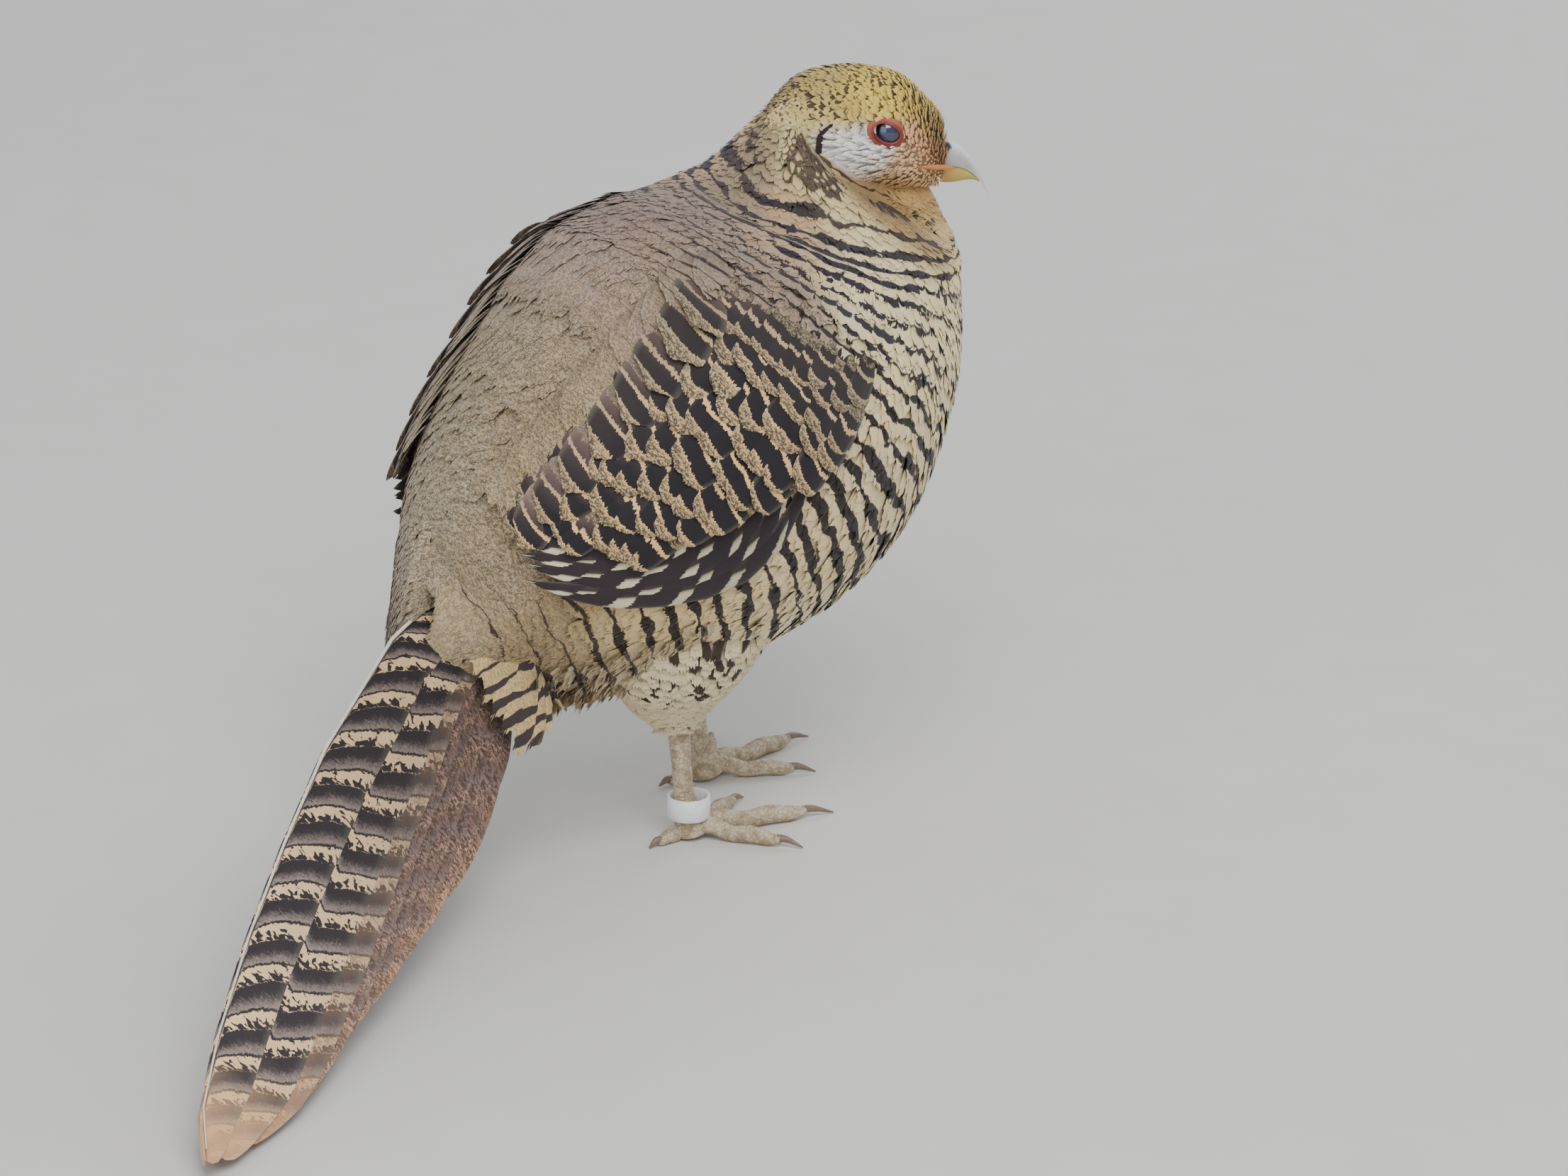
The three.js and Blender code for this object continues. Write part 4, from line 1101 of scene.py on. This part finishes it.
def tail_paint(pair):
    """Bars that bow back from the shaft and widen to the root; the outer pairs are freckled rufous."""
    freckled = OUTER_LOOK[min(pair, 3)]
    starts_at = 0.5 + BAR_START[min(pair, 3)]

    def paint(along, across, u, share, rng, reach_mm):
        from_tip = (1 - share) * reach_mm
        buff_end = np.clip(1.6 - from_tip / 55, 0, 1)[..., None]
        ground = blend(tone("f3cf9c"), tone("a98673"), freckled)
        ground = blend(ground, tone("dda574"), buff_end * 0.8)
        # Every other outer pair is painted a little lighter and the pairs between a little darker: painted
        # shade that sets each quill off from the one it overlaps.
        ground = ground * (1 + 0.22 * (pair % 2 - 0.5) * (pair > 2))
        mark = blend(tone("2c2528"), tone("3a2420"), freckled)
        out = (u + 0.5) / 1.5 if pair == 0 else np.abs(u)
        fall = 1.3 * out - 0.35 * out**2 if pair == 0 else 0.6 * out
        phase = -21.4 * np.log(1 - 0.0018 * from_tip) + starts_at - fall
        dark = (1 - 0.75 * max(freckled - 0.3, 0)) * np.clip((from_tip - 15) / 60, 0.16, 1)
        return dyed(along, ground, mark, phase, dark, 0.04 + 0.8 * freckled)

    return paint


TAIL_ROWS = np.concatenate([np.linspace(0, 0.9, 26), [0.93, 0.96, 0.985, 1]])
tail_width = np.minimum(np.minimum(0.45 + 2 * TAIL_ROWS, 1), 0.22 + 1.56 * np.sqrt(1 - TAIL_ROWS))
TAIL_VANE = list(zip(TAIL_ROWS, tail_width))
for side, half_name in ((1, "right"), (-1, "left")):
    fold = (1, 1) if side > 0 else LEFT_FOLD
    for pair, (reach, root_at, middle_at, tip_at, half) in enumerate(TAIL_PAIRS):
        inner = 0.3 + 2.2 * pair

        def quill_surface(along, across, lift, side=side, inner=inner):
            return tail_point(along, side * np.maximum(inner, side * across), lift)

        layer = -TAIL_LAYER * pair
        middle_at, tip_at = middle_at * fold[0], tip_at * fold[1]
        sag = (middle_at - (root_at + tip_at) / 2) * side
        grow(
            f"tail_{half_name}_{pair + 1}", quill_surface, [(0, side * root_at)],
            [(reach, side * tip_at)], half, (layer, layer), TAIL_VANE, 13, 1.3, tail_paint(pair),
            tail_plumage, fringe=0.012, rounding=0, bend=np.array([[0, sag]]),
            patch=(0.03, 0.4), seed=80 + pair,
        )
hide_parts("tail")

# The pale shaft of the topmost quill, from under the coverts to near its tip.
SHAFT_ENDS = (0.1, 0.97)
SHAFT_THICK = 0.75
SHAFT_ON_RIDGE = (0.3, 1.4)
pale_quill = Finish("pale_quill", Roughness=0.35, Specular_IOR_Level=0.5)
pale_quill.feed("Base Color", pale_quill.mix(pale_quill.grain(300, 2), tone("f0ebe0"), tone("c9bda6")))
along, turn = round_grid(80, 8, SHAFT_ENDS)
turn = np.radians(turn)
thick = SHAFT_THICK * (1 - along * 0.7)
stations = np.linspace(0, 1, len(TAIL_RIDGE))
to_right = np.stack([np.interp(along, stations, TAIL_RIGHT[:, n]) for n in range(3)], -1)
points = tail_point(along, along * 0, SHAFT_ON_RIDGE[1] + thick * np.sin(turn))
points = points + to_right * (SHAFT_ON_RIDGE[0] + thick * np.cos(turn))[..., None]
ring_piece("tail_shaft", points, pale_quill.material)

# Tail coverts: broad soft feathers from the rump over the roots of the quills, barred like the
# flank. On the near side they lie in tiers; over the ridge small plain feathers lead on to the tail.
COVERT_ROOTS = 0.12
COVERT_ROUND = 34
COVERT_BARS = 10
TAIL_LENGTH = 330
COVERT_TIERS = [
    # feathers, spread down the slope, reach along the ridge in the middle and at the side, lift
    (9, 60, 0.07, 0.14, 1.4), (9, 59, 0.055, 0.118, 1.9), (9, 58, 0.04, 0.096, 2.4),
    (9, 57, 0.025, 0.074, 2.9), (9, 56, 0.01, 0.05, 3.4), (9, 55, 0.0, 0.028, 3.9),
]


def rump_paint(spread, middle, sides):
    """Bars that run straight on over all the coverts, at right angles to the tail as it is seen."""
    def paint(along, across, u, share, rng, reach_mm):
        bright = uneven(rng, len(along), 0.2)
        from_tip = (1 - share) * reach_mm
        tip_at = TAIL_LENGTH * (middle + (sides - middle) * across / spread)
        phase = (from_tip - tip_at - 1.1 * across) / COVERT_BARS + 0.1 * rng.random((len(along), 1, 1))
        return dyed(along, tone("c6ab76") * bright, tone("3b3031"), phase, 0.42, 0.55)
    return paint


for tier, (count, spread, middle, sides, over) in enumerate(COVERT_TIERS):
    def covert_surface(along, across, lift, middle=middle, sides=sides, spread=spread):
        reach = middle + (sides - middle) * np.clip(across / spread, 0, 1)
        rooted = trunk_point(np.full(along.shape, COVERT_ROOTS), -np.degrees(across / COVERT_ROUND), lift)
        laid = tail_point(reach * np.clip(along, 0, 1), across, lift)
        w = np.clip(along, 0, 1)[..., None] ** 0.8
        return rooted * (1 - w) + laid * w

    at = np.linspace(1.5, spread, count) + (tier % 2) * spread / count / 2
    grow(
        f"tail_coverts_{tier}", covert_surface, np.stack([at * 0, at * 0.95], 1),
        np.stack([at * 0 + 1, at], 1), 5.5, (-1.5, over), BLUNT_VANE, 13, 0.3,
        rump_paint(spread, middle, sides), body_plumage, fringe=0.16, rounding=0.1,
        patch=(0.02, 0.05), seed=95 + tier, settle=1,
    )


RIDGE_ROOTS = 0.15
RIDGE_FEATHERS = 620


def ridge_surface(along, across, lift):
    """From the rump on to the far side of the tail's ridge; across in millimetres, more to the right."""
    rooted = trunk_point(np.full(along.shape, RIDGE_ROOTS), -np.degrees(across / COVERT_ROUND), lift)
    reach = 0.13 - 0.085 * np.clip((across + 2) / 9, 0, 1)
    laid = tail_point(reach, across * np.where(across < 0, 0.7, 0.25), lift + 0.6)
    w = np.clip(along, 0, 1)[..., None]
    return rooted * (1 - w) + laid * w


def rump_share(along):
    """The share of the spine that the ridge's feathers are dyed like."""
    return 0.05 + 0.05 * along


ridge_rng = np.random.default_rng(43)
ridge_roots = np.stack([
    0.93 * ridge_rng.random(RIDGE_FEATHERS),
    -36 + 54 * ridge_rng.random(RIDGE_FEATHERS),
], 1)
ridge_run = np.array([[0.18, 0]]) + ridge_rng.normal(0, 1, (RIDGE_FEATHERS, 2)) * np.array([[0.01, 0.6]])
ridge_tips = ridge_roots + ridge_run
ridge_tips[:, 0] = np.minimum(ridge_tips[:, 0], 1)
grow(
    "ridge_feathers", ridge_surface, ridge_roots, ridge_tips, 2.6, (-1.5, 1), SMALL_VANE, 7, 0.12,
    coat_paint(TRUNK_DYES, trunk_bars, rump_share), body_plumage, fringe=0.3, seed=46,
)

# Vent: long loose down from the rear of the belly, that closes the gap between tail and legs.
VENT_FEATHERS = 900
vent_rng = np.random.default_rng(44)
place = 0.1 + 0.28 * vent_rng.random(VENT_FEATHERS)
side = 180 + 62 * (vent_rng.random(VENT_FEATHERS) * 2 - 1)
under = np.cos(np.radians(side - 180)) ** 0.5
vent_tips = np.stack([
    place - 0.045 - 0.03 * vent_rng.random(VENT_FEATHERS),
    side + vent_rng.normal(0, 2, VENT_FEATHERS),
], 1)
hang = (4 + 11 * np.clip((0.36 - place) / 0.16, 0, 1) * vent_rng.random(VENT_FEATHERS)) * under
grow(
    "vent_down", trunk_point, np.stack([place, side], 1), vent_tips, 3,
    np.stack([np.full(VENT_FEATHERS, -COAT_DEPTH), hang], 1), SMALL_VANE, 7, 0.15,
    coat_paint(TRUNK_DYES, trunk_bars), body_plumage, fringe=0.45, seed=45, settle=1.1,
)

# Thigh coat: short downy feathers that hang over the legs to the hock.
THIGH_LENGTHS = ([0, 1], [10, 13])
THIGH_HALVES = ([0, 1], [1.7, 2.6])
SPOT_PITCH = 12
SPOTLESS = 0.72


def thigh_paint(along, across, u, share, rng, reach_mm):
    """Pale down, with a dark spot on some of its upper feathers."""
    ground, _, _, fleck = dye(TRUNK_DYES, np.full(along.shape, THIGH_SHARE), 165 - 40 * along)
    bright = uneven(rng, len(along), 0.16) - 0.05
    spotted = rng.random((len(along), 1, 1)) > SPOTLESS
    dark = 0.45 * spotted * np.clip((along - 0.3) / 0.2, 0, 1)
    phase = (1 - share) * reach_mm / SPOT_PITCH + 0.1
    return dyed(along, ground * bright, tone("3a2e26"), phase, dark, fleck * 0.5)


for name, foot in (("right", RIGHT_FOOT), ("left", LEFT_FOOT)):
    surface = thigh_surface(foot)
    thigh_rng = np.random.default_rng(41)
    roots, tips, halves = lay_rows(surface, 0.75, 0.05, 0.04, THIGH_LENGTHS, THIGH_HALVES, thigh_rng)
    grow(
        f"thigh_{name}_down", surface, roots, tips, halves, (-COAT_DEPTH, 0.9), SMALL_VANE, 7, 0.15,
        thigh_paint, body_plumage, fringe=0.4, seed=42,
    )

# Bill: two horny halves that meet along the mouth line; the upper hooks over the lower.
BILL_ROOT, BILL_LENGTH, LOWER_LENGTH = 25.5, 17.9, 14.1
BILL_HALF_WIDTH = 6


def bill_half(length, edge, gap, narrow, blunt):
    """Points of half a bill between the mouth line and its ridge or chin, with share and turn."""
    share, turn = np.meshgrid(np.linspace(0, 1, 28), np.linspace(0, math.pi, 25), indexing="ij")
    f = share * length / BILL_LENGTH
    wide = BILL_HALF_WIDTH * (1 - 0.88 * f**1.6) * narrow
    mouth = -12.5 - 11.9 * f**3 - gap
    deep = (edge(f) - mouth) * (1 - blunt * share**2)
    out = wide * np.sign(np.cos(turn)) * np.abs(np.cos(turn)) ** 0.85
    return head_place(BILL_ROOT + length * share, out, mouth + deep * np.sin(turn)), share, turn


horn = Finish("horn", Roughness=0.5, Specular_IOR_Level=0.35)
run, is_lower, turn_round = horn.split(horn.stored("rule"))
streaks = horn.grain(420, 3)
off_ridge = (turn_round - math.pi / 2).maths("ABSOLUTE")
nostril_oval = (run - 0.04) * (run - 0.04) * 45 + (off_ridge - 0.55) * (off_ridge - 0.55) * 4
nostril_dark = 1 - horn.step(nostril_oval + (streaks - 0.5) * 1.5, 0.2, 1.2)
upper_horn = horn.mix(horn.step(off_ridge, 0.2, 1.2), tone("dadbdc"), tone("a3a29e"))
upper_horn = horn.mix(horn.step(run, 0.45, 1.0), upper_horn, tone("cfcabb"))
upper_horn = horn.mix(nostril_dark, upper_horn, tone("2c2622"))
lower_horn = horn.mix(horn.step(run, 0.1, 0.9), tone("c39a52"), tone("b8ae56"))
horn_colour = horn.mix(is_lower, upper_horn, lower_horn)
horn.feed("Base Color", horn.mix((streaks - 0.35) * 0.6, horn_colour, tone("6f6a66")))
horn.bump(streaks, 0.12, 0.0004)
for name, length, edge, gap, narrow, blunt, lower in (
    ("bill_upper", BILL_LENGTH, lambda f: -4.5 - 20.1 * f**2.2, 0, 1, 0, 0),
    ("bill_lower", LOWER_LENGTH, lambda f: -20.2 - 1.4 * f, 0.3, 0.88, 0.75, 1),
):
    points, share, turn = bill_half(length, edge, gap, narrow, blunt)
    piece = ring_piece(name + "_horn", points, horn.material, (share, lower, turn))
    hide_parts(name)

# Eyes: a glossy dark ball behind oval lids with a red rim and a pale bare ring round them.
eye = Finish("eye_gloss", Roughness=0.06, Coat_Weight=1.0, Coat_Roughness=0.02, Specular_IOR_Level=0.6)
off_axis, _, _ = eye.split(eye.stored("rule"))
# The ball is dark blue and lighter blue in its middle: partly the eye's own colour, partly a painted
# reflection of the sky on the cornea.
iris_and_sky_reflection = eye.mix(eye.step(off_axis, 0.3, 0.62), tone("152850"), tone("090b15"))
eye.feed("Base Color", eye.mix(eye.grain(900, 2) * 0.3, iris_and_sky_reflection, tone("101018")))
lid = Finish("lid_skin", Roughness=0.55, Specular_IOR_Level=0.4)
ring_share, _, _ = lid.split(lid.stored("rule"))
folds = lid.grain(1300, 3)
lid_colour = lid.mix(lid.step(ring_share, 0.6, 0.9), tone("7d3033"), tone("a8623f"))
lid.feed("Base Color", lid.mix((folds - 0.3) * 0.6, lid_colour, tone("5f3a36")))
lid.bump(folds, 0.3, 0.0003)


def face_out(forward, up, lift=0.0):
    """How far the face reaches out at a place, forward and up of the head's middle."""
    share = np.interp(forward, HEAD[:, 0], np.linspace(0, 1, len(HEAD)))
    station = smooth_line(HEAD, share)
    high = station[..., 3] * np.where(up > station[..., 1], CROWN_FLATTEN, 1) + lift
    inside = np.clip(1 - ((up - station[..., 1]) / high) ** 2, 0.02, 1)
    return (station[..., 2] + lift) * np.sqrt(inside)


# Gape: a soft orange fold of bare skin that runs from the corner of the bill back over the cheek.
gape = Finish("gape_skin", Roughness=0.45, Specular_IOR_Level=0.4)
gape_folds = gape.grain(900, 3)
gape.feed("Base Color", gape.mix(gape_folds, tone("d2904f"), tone("b0623f")))
gape.bump(gape_folds, 0.3, 0.0003)
for name, side in (("right", -1), ("left", 1)):
    share, turn = round_grid(24, 12)
    turn = np.radians(turn)
    forward = 30 - 14 * share
    thick = 0.3 + 1.3 * np.sin(np.clip(share * 1.15, 0, 1) * math.pi) ** 0.7
    up = -12.9 + 2.0 * share + 0.7 * thick * np.sin(turn)
    out = np.maximum(face_out(forward, up), 5.6 - 1.1 * share) + 0.35 + thick * 0.5 * np.cos(turn)
    ring_piece(f"gape_{name}", head_place(forward, side * out, up), gape.material)

# Lids: rings of bare skin from the rim on the ball out to the edge under the face's feathers.
LID_RINGS = [
    # half length, half height, and how far out: from the ball where given, else from the face
    (4.4, 2.8, 5.9, None), (4.8, 3.15, 6.8, None), (5.0, 3.4, 7.0, None), (5.35, 3.65, None, 0.6),
    (5.8, 3.95, None, 0.35), (6.2, 4.3, None, 0.1), (6.8, 4.8, None, -0.4), (7.7, 5.7, None, -1.6),
]
BALL_RADIUS = 6.5
CORNEA_BULGE = 0.25
for name, side in (("right", -1), ("left", 1)):
    polar, turn = np.meshgrid(np.linspace(0, math.pi, 33)[1:-1], np.arange(48) * math.pi / 24, indexing="ij")
    radius = BALL_RADIUS + CORNEA_BULGE * np.exp(-(polar / 0.55) ** 2)
    ball = head_place(
        EYE_FORWARD + radius * np.sin(polar) * np.cos(turn),
        side * (EYE_OUT + radius * np.cos(polar)),
        EYE_UP + radius * np.sin(polar) * np.sin(turn),
    )
    piece = ring_piece(f"eyeball_{name}", ball, eye.material, (polar, 0, 0), flip=side > 0)
    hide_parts(f"eye_{name}")
    turn = np.arange(56) * 2 * math.pi / 56
    rings = []
    for long, high, from_ball, from_face in LID_RINGS:
        a, b = long * np.cos(turn), high * np.sin(turn)
        forward = EYE_FORWARD + a * math.cos(EYE_SLANT) + b * math.sin(EYE_SLANT)
        up = EYE_UP - a * math.sin(EYE_SLANT) + b * math.cos(EYE_SLANT)
        if from_ball:
            out = EYE_OUT + np.sqrt(np.maximum(from_ball**2 - a**2 - b**2, 1))
        else:
            over_ball = EYE_OUT + np.sqrt(np.maximum(6.8**2 - a**2 - b**2, 0))
            out = np.where(a**2 + b**2 < 40, np.maximum(face_out(forward, up) + from_face, over_ball), 0)
            out = np.maximum(out, face_out(forward, up) + from_face)
        rings.append(head_place(forward, side * out, up))
    from_rim = np.linspace(0, 1, len(LID_RINGS))[:, None] + turn * 0
    ring_piece(f"lids_{name}", np.stack(rings), lid.material, (from_rim, 0, 0), flip=side < 0)

# Legs: bare shanks in horny scutes, and feet of three toes forward and one back with dark claws.
scaly = Finish("leg_scales", Roughness=0.55, Specular_IOR_Level=0.4)
leg_place = scaly.object_place()
cells = scaly.node(
    "ShaderNodeTexVoronoi", {"feature": "DISTANCE_TO_EDGE"}, {"Vector": leg_place, "Scale": 520},
)
seams = scaly.step(cells, 0, 0.12)
grime = scaly.noise(leg_place, 260, 3)
leg_colour = scaly.mix(scaly.step(grime, 0.35, 0.7), tone("c4b69c"), tone("a08a6a"))
scaly.feed("Base Color", scaly.mix((1 - seams) * 0.45, leg_colour, tone("6d5a44")))
scaly.bump(seams, 0.4, 0.0004)
claw = Finish("claw_horn", Roughness=0.4, Specular_IOR_Level=0.5)
claw_streaks = claw.grain(500, 3)
claw.feed("Base Color", claw.mix(claw_streaks, tone("5a4a3c"), tone("8d7c68")))
claw.bump(claw_streaks, 0.15, 0.0003)
TOES = [
    # degrees out from straight ahead, length, thickness
    (52, 37, 3.1), (12, 49, 3.4), (-28, 36, 3.0), (175, 17, 2.4),
]
KNUCKLES = [
    # share of the toe's length, height, half width and half height, in thicknesses and millimetres
    (0, 0, 5, 1, 0.8, 1, 0.6), (0.22, 1, 2.2, 1, 0, 1, 0), (0.42, 0.95, 0, 0.92, 0, 0.92, 0),
    (0.62, 1.15, 0, 0.98, 0, 0.98, 0), (0.8, 0.85, 0, 0.8, 0, 0.82, 0), (0.93, 0.9, 0, 0.45, 0, 0.5, 0),
]
SHANK_SIZES = np.array([[3.5, 3.9], [3.2, 3.6], [4.2, 4.8]])
PALM_SIZES = np.array([[6.4, 6.8], [5.4, 5.8], [4.0, 4.4]])
CLAW_SIZES = np.array([[1.5, 1.6], [1.2, 1.4], [0.25, 0.3]])
SHANK_SCUTES, SHANK_SCUTE_DEPTH = 17, 0.35
TOE_SCUTE, TOE_SCUTE_DEPTH = 2.6, 0.32
JUST_OVER_FLOOR = 0.05


def limb_skin(line, sizes, rows, columns, scutes=1, depth=0):
    """A limb that stays over the floor; its front may carry a ladder of overlapping scutes."""
    along, angle = round_grid(rows, columns)
    front = np.clip(np.cos(np.radians(angle - 90)), 0, 1) ** 0.6
    lift = depth * front * (1 - (along * scutes) % 1) ** 0.5
    points = limb_point(np.array(line, float), sizes, along, angle, lift)
    points[..., 2] = np.maximum(points[..., 2], JUST_OVER_FLOOR)
    return points


for name, (left, forward_y), side in (("right", RIGHT_FOOT, -1), ("left", LEFT_FOOT, 1)):
    def at(forward, out, height):
        return left + side * out, forward_y - forward, height

    shank_line = [at(-2.6, 0, 11), at(-4, 0, 30), at(-6, 0, 52)]
    shank = limb_skin(shank_line, SHANK_SIZES, 120, 32, SHANK_SCUTES, SHANK_SCUTE_DEPTH)
    piece = ring_piece(f"shank_{name}_scutes", shank, scaly.material)
    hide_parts(f"shank_{name}")
    palm = limb_skin([at(0.5, 0, 2.6), at(-0.8, 0, 8), at(-2, 0, 14)], PALM_SIZES, 16, 28)
    piece = ring_piece(f"foot_{name}_palm", palm, scaly.material)
    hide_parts(f"foot_{name}")
    for number, (turn, reach, thick) in enumerate(TOES):
        ahead, out = math.cos(math.radians(turn)), math.sin(math.radians(turn))

        def on_toe(share, height):
            return at(ahead * reach * share, out * reach * share, height)

        line = [on_toe(share, thick * high + plus) for share, high, plus, *_ in KNUCKLES]
        girths = np.array([
            (thick * wide + wider, thick * deep + deeper)
            for _, _, _, wide, wider, deep, deeper in KNUCKLES
        ])
        toe = limb_skin(line, girths, 90, 20, reach / TOE_SCUTE, TOE_SCUTE_DEPTH)
        ring_piece(f"toe_{name}_{number + 1}", toe, scaly.material)
        claw_line = [on_toe(0.82, thick * 0.95), on_toe(0.98, thick * 1.05), on_toe(1.16, 0.7)]
        nail = limb_skin(claw_line, CLAW_SIZES, 14, 14)
        ring_piece(f"claw_{name}_{number + 1}", nail, claw.material)

# Leg ring: a plain white closed band, loose round the right shank and resting on the foot.
RING_MIDDLE = (RIGHT_FOOT[0], 1, 12.6)
RING_RADIUS, RING_WALL, RING_HEIGHT, RING_EDGE = 7.9, 1.0, 8.5, 0.3
RING_STEPS = 96
band = Finish("ring_white", Roughness=0.4, Specular_IOR_Level=0.45)
scuffs = band.grain(700, 4)
band.feed("Base Color", band.mix(band.step(scuffs, 0.55, 0.75) * 0.35, tone("e6e8e8"), tone("9b9488")))
band.bump(scuffs, 0.1, 0.0003)
w, h, e = RING_WALL / 2, RING_HEIGHT / 2, RING_EDGE
profile = np.array([
    (-w, -h + e), (-w + e, -h), (w - e, -h), (w, -h + e), (w, h - e), (w - e, h), (-w + e, h), (-w, h - e),
])
around = np.arange(RING_STEPS)[:, None] * 2 * math.pi / RING_STEPS
out = RING_RADIUS - w + profile[:, 0]
ring_points = np.stack(np.broadcast_arrays(out * np.cos(around), out * np.sin(around), profile[:, 1]), -1)
corner = np.arange(RING_STEPS * len(profile)).reshape(RING_STEPS, len(profile))
onward, beside = np.roll(corner, -1, 0), np.roll(corner, -1, 1)
ring_quads = np.stack([corner, onward, np.roll(onward, -1, 1), beside], -1)
piece = build_piece(
    "ring_band", ring_points.reshape(-1, 3) + RING_MIDDLE, ring_quads.reshape(-1),
    np.full(corner.size, 4), band.material, sharp=60,
)
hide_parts("leg_ring")

# Stage: a plain pale floor under soft studio light.
floor_mesh = bpy.data.meshes.new("floor")
floor_mesh.from_pydata([(-6, -6, 0), (6, -6, 0), (6, 6, 0), (-6, 6, 0)], [], [(0, 1, 2, 3)])
floor = bpy.data.objects.new("floor", floor_mesh)
bpy.context.scene.collection.objects.link(floor)
pale_floor = Finish("pale_floor", Roughness=0.9)
pale_floor.feed("Base Color", pale_floor.mix(pale_floor.grain(30, 3), tone("cfccc6"), tone("d6d3ce")))
floor_mesh.materials.append(pale_floor.material)
world = bpy.data.worlds.new("studio")
world.use_nodes = True
world.node_tree.nodes["Background"].inputs["Color"].default_value = (0.82, 0.88, 0.95, 1)
world.node_tree.nodes["Background"].inputs["Strength"].default_value = 0.72
bpy.context.scene.world = world
LIGHTS = [
    # name, place, size, power
    ("key", (-1.6, 0.6, 2.2), 1.6, 56),
    ("fill", (-1.2, 2.2, 1.0), 2.0, 19),
    ("front", (0.8, -2.2, 1.6), 1.8, 24),
]
for name, place, size, power in LIGHTS:
    light = bpy.data.lights.new(name, "AREA")
    light.size = size
    light.energy = power
    lamp = bpy.data.objects.new(name, light)
    lamp.location = place
    lamp.rotation_mode = "QUATERNION"
    lamp.rotation_quaternion = (Vector((0, 0, 0.12)) - Vector(place)).to_track_quat("-Z", "Y")
    bpy.context.scene.collection.objects.link(lamp)
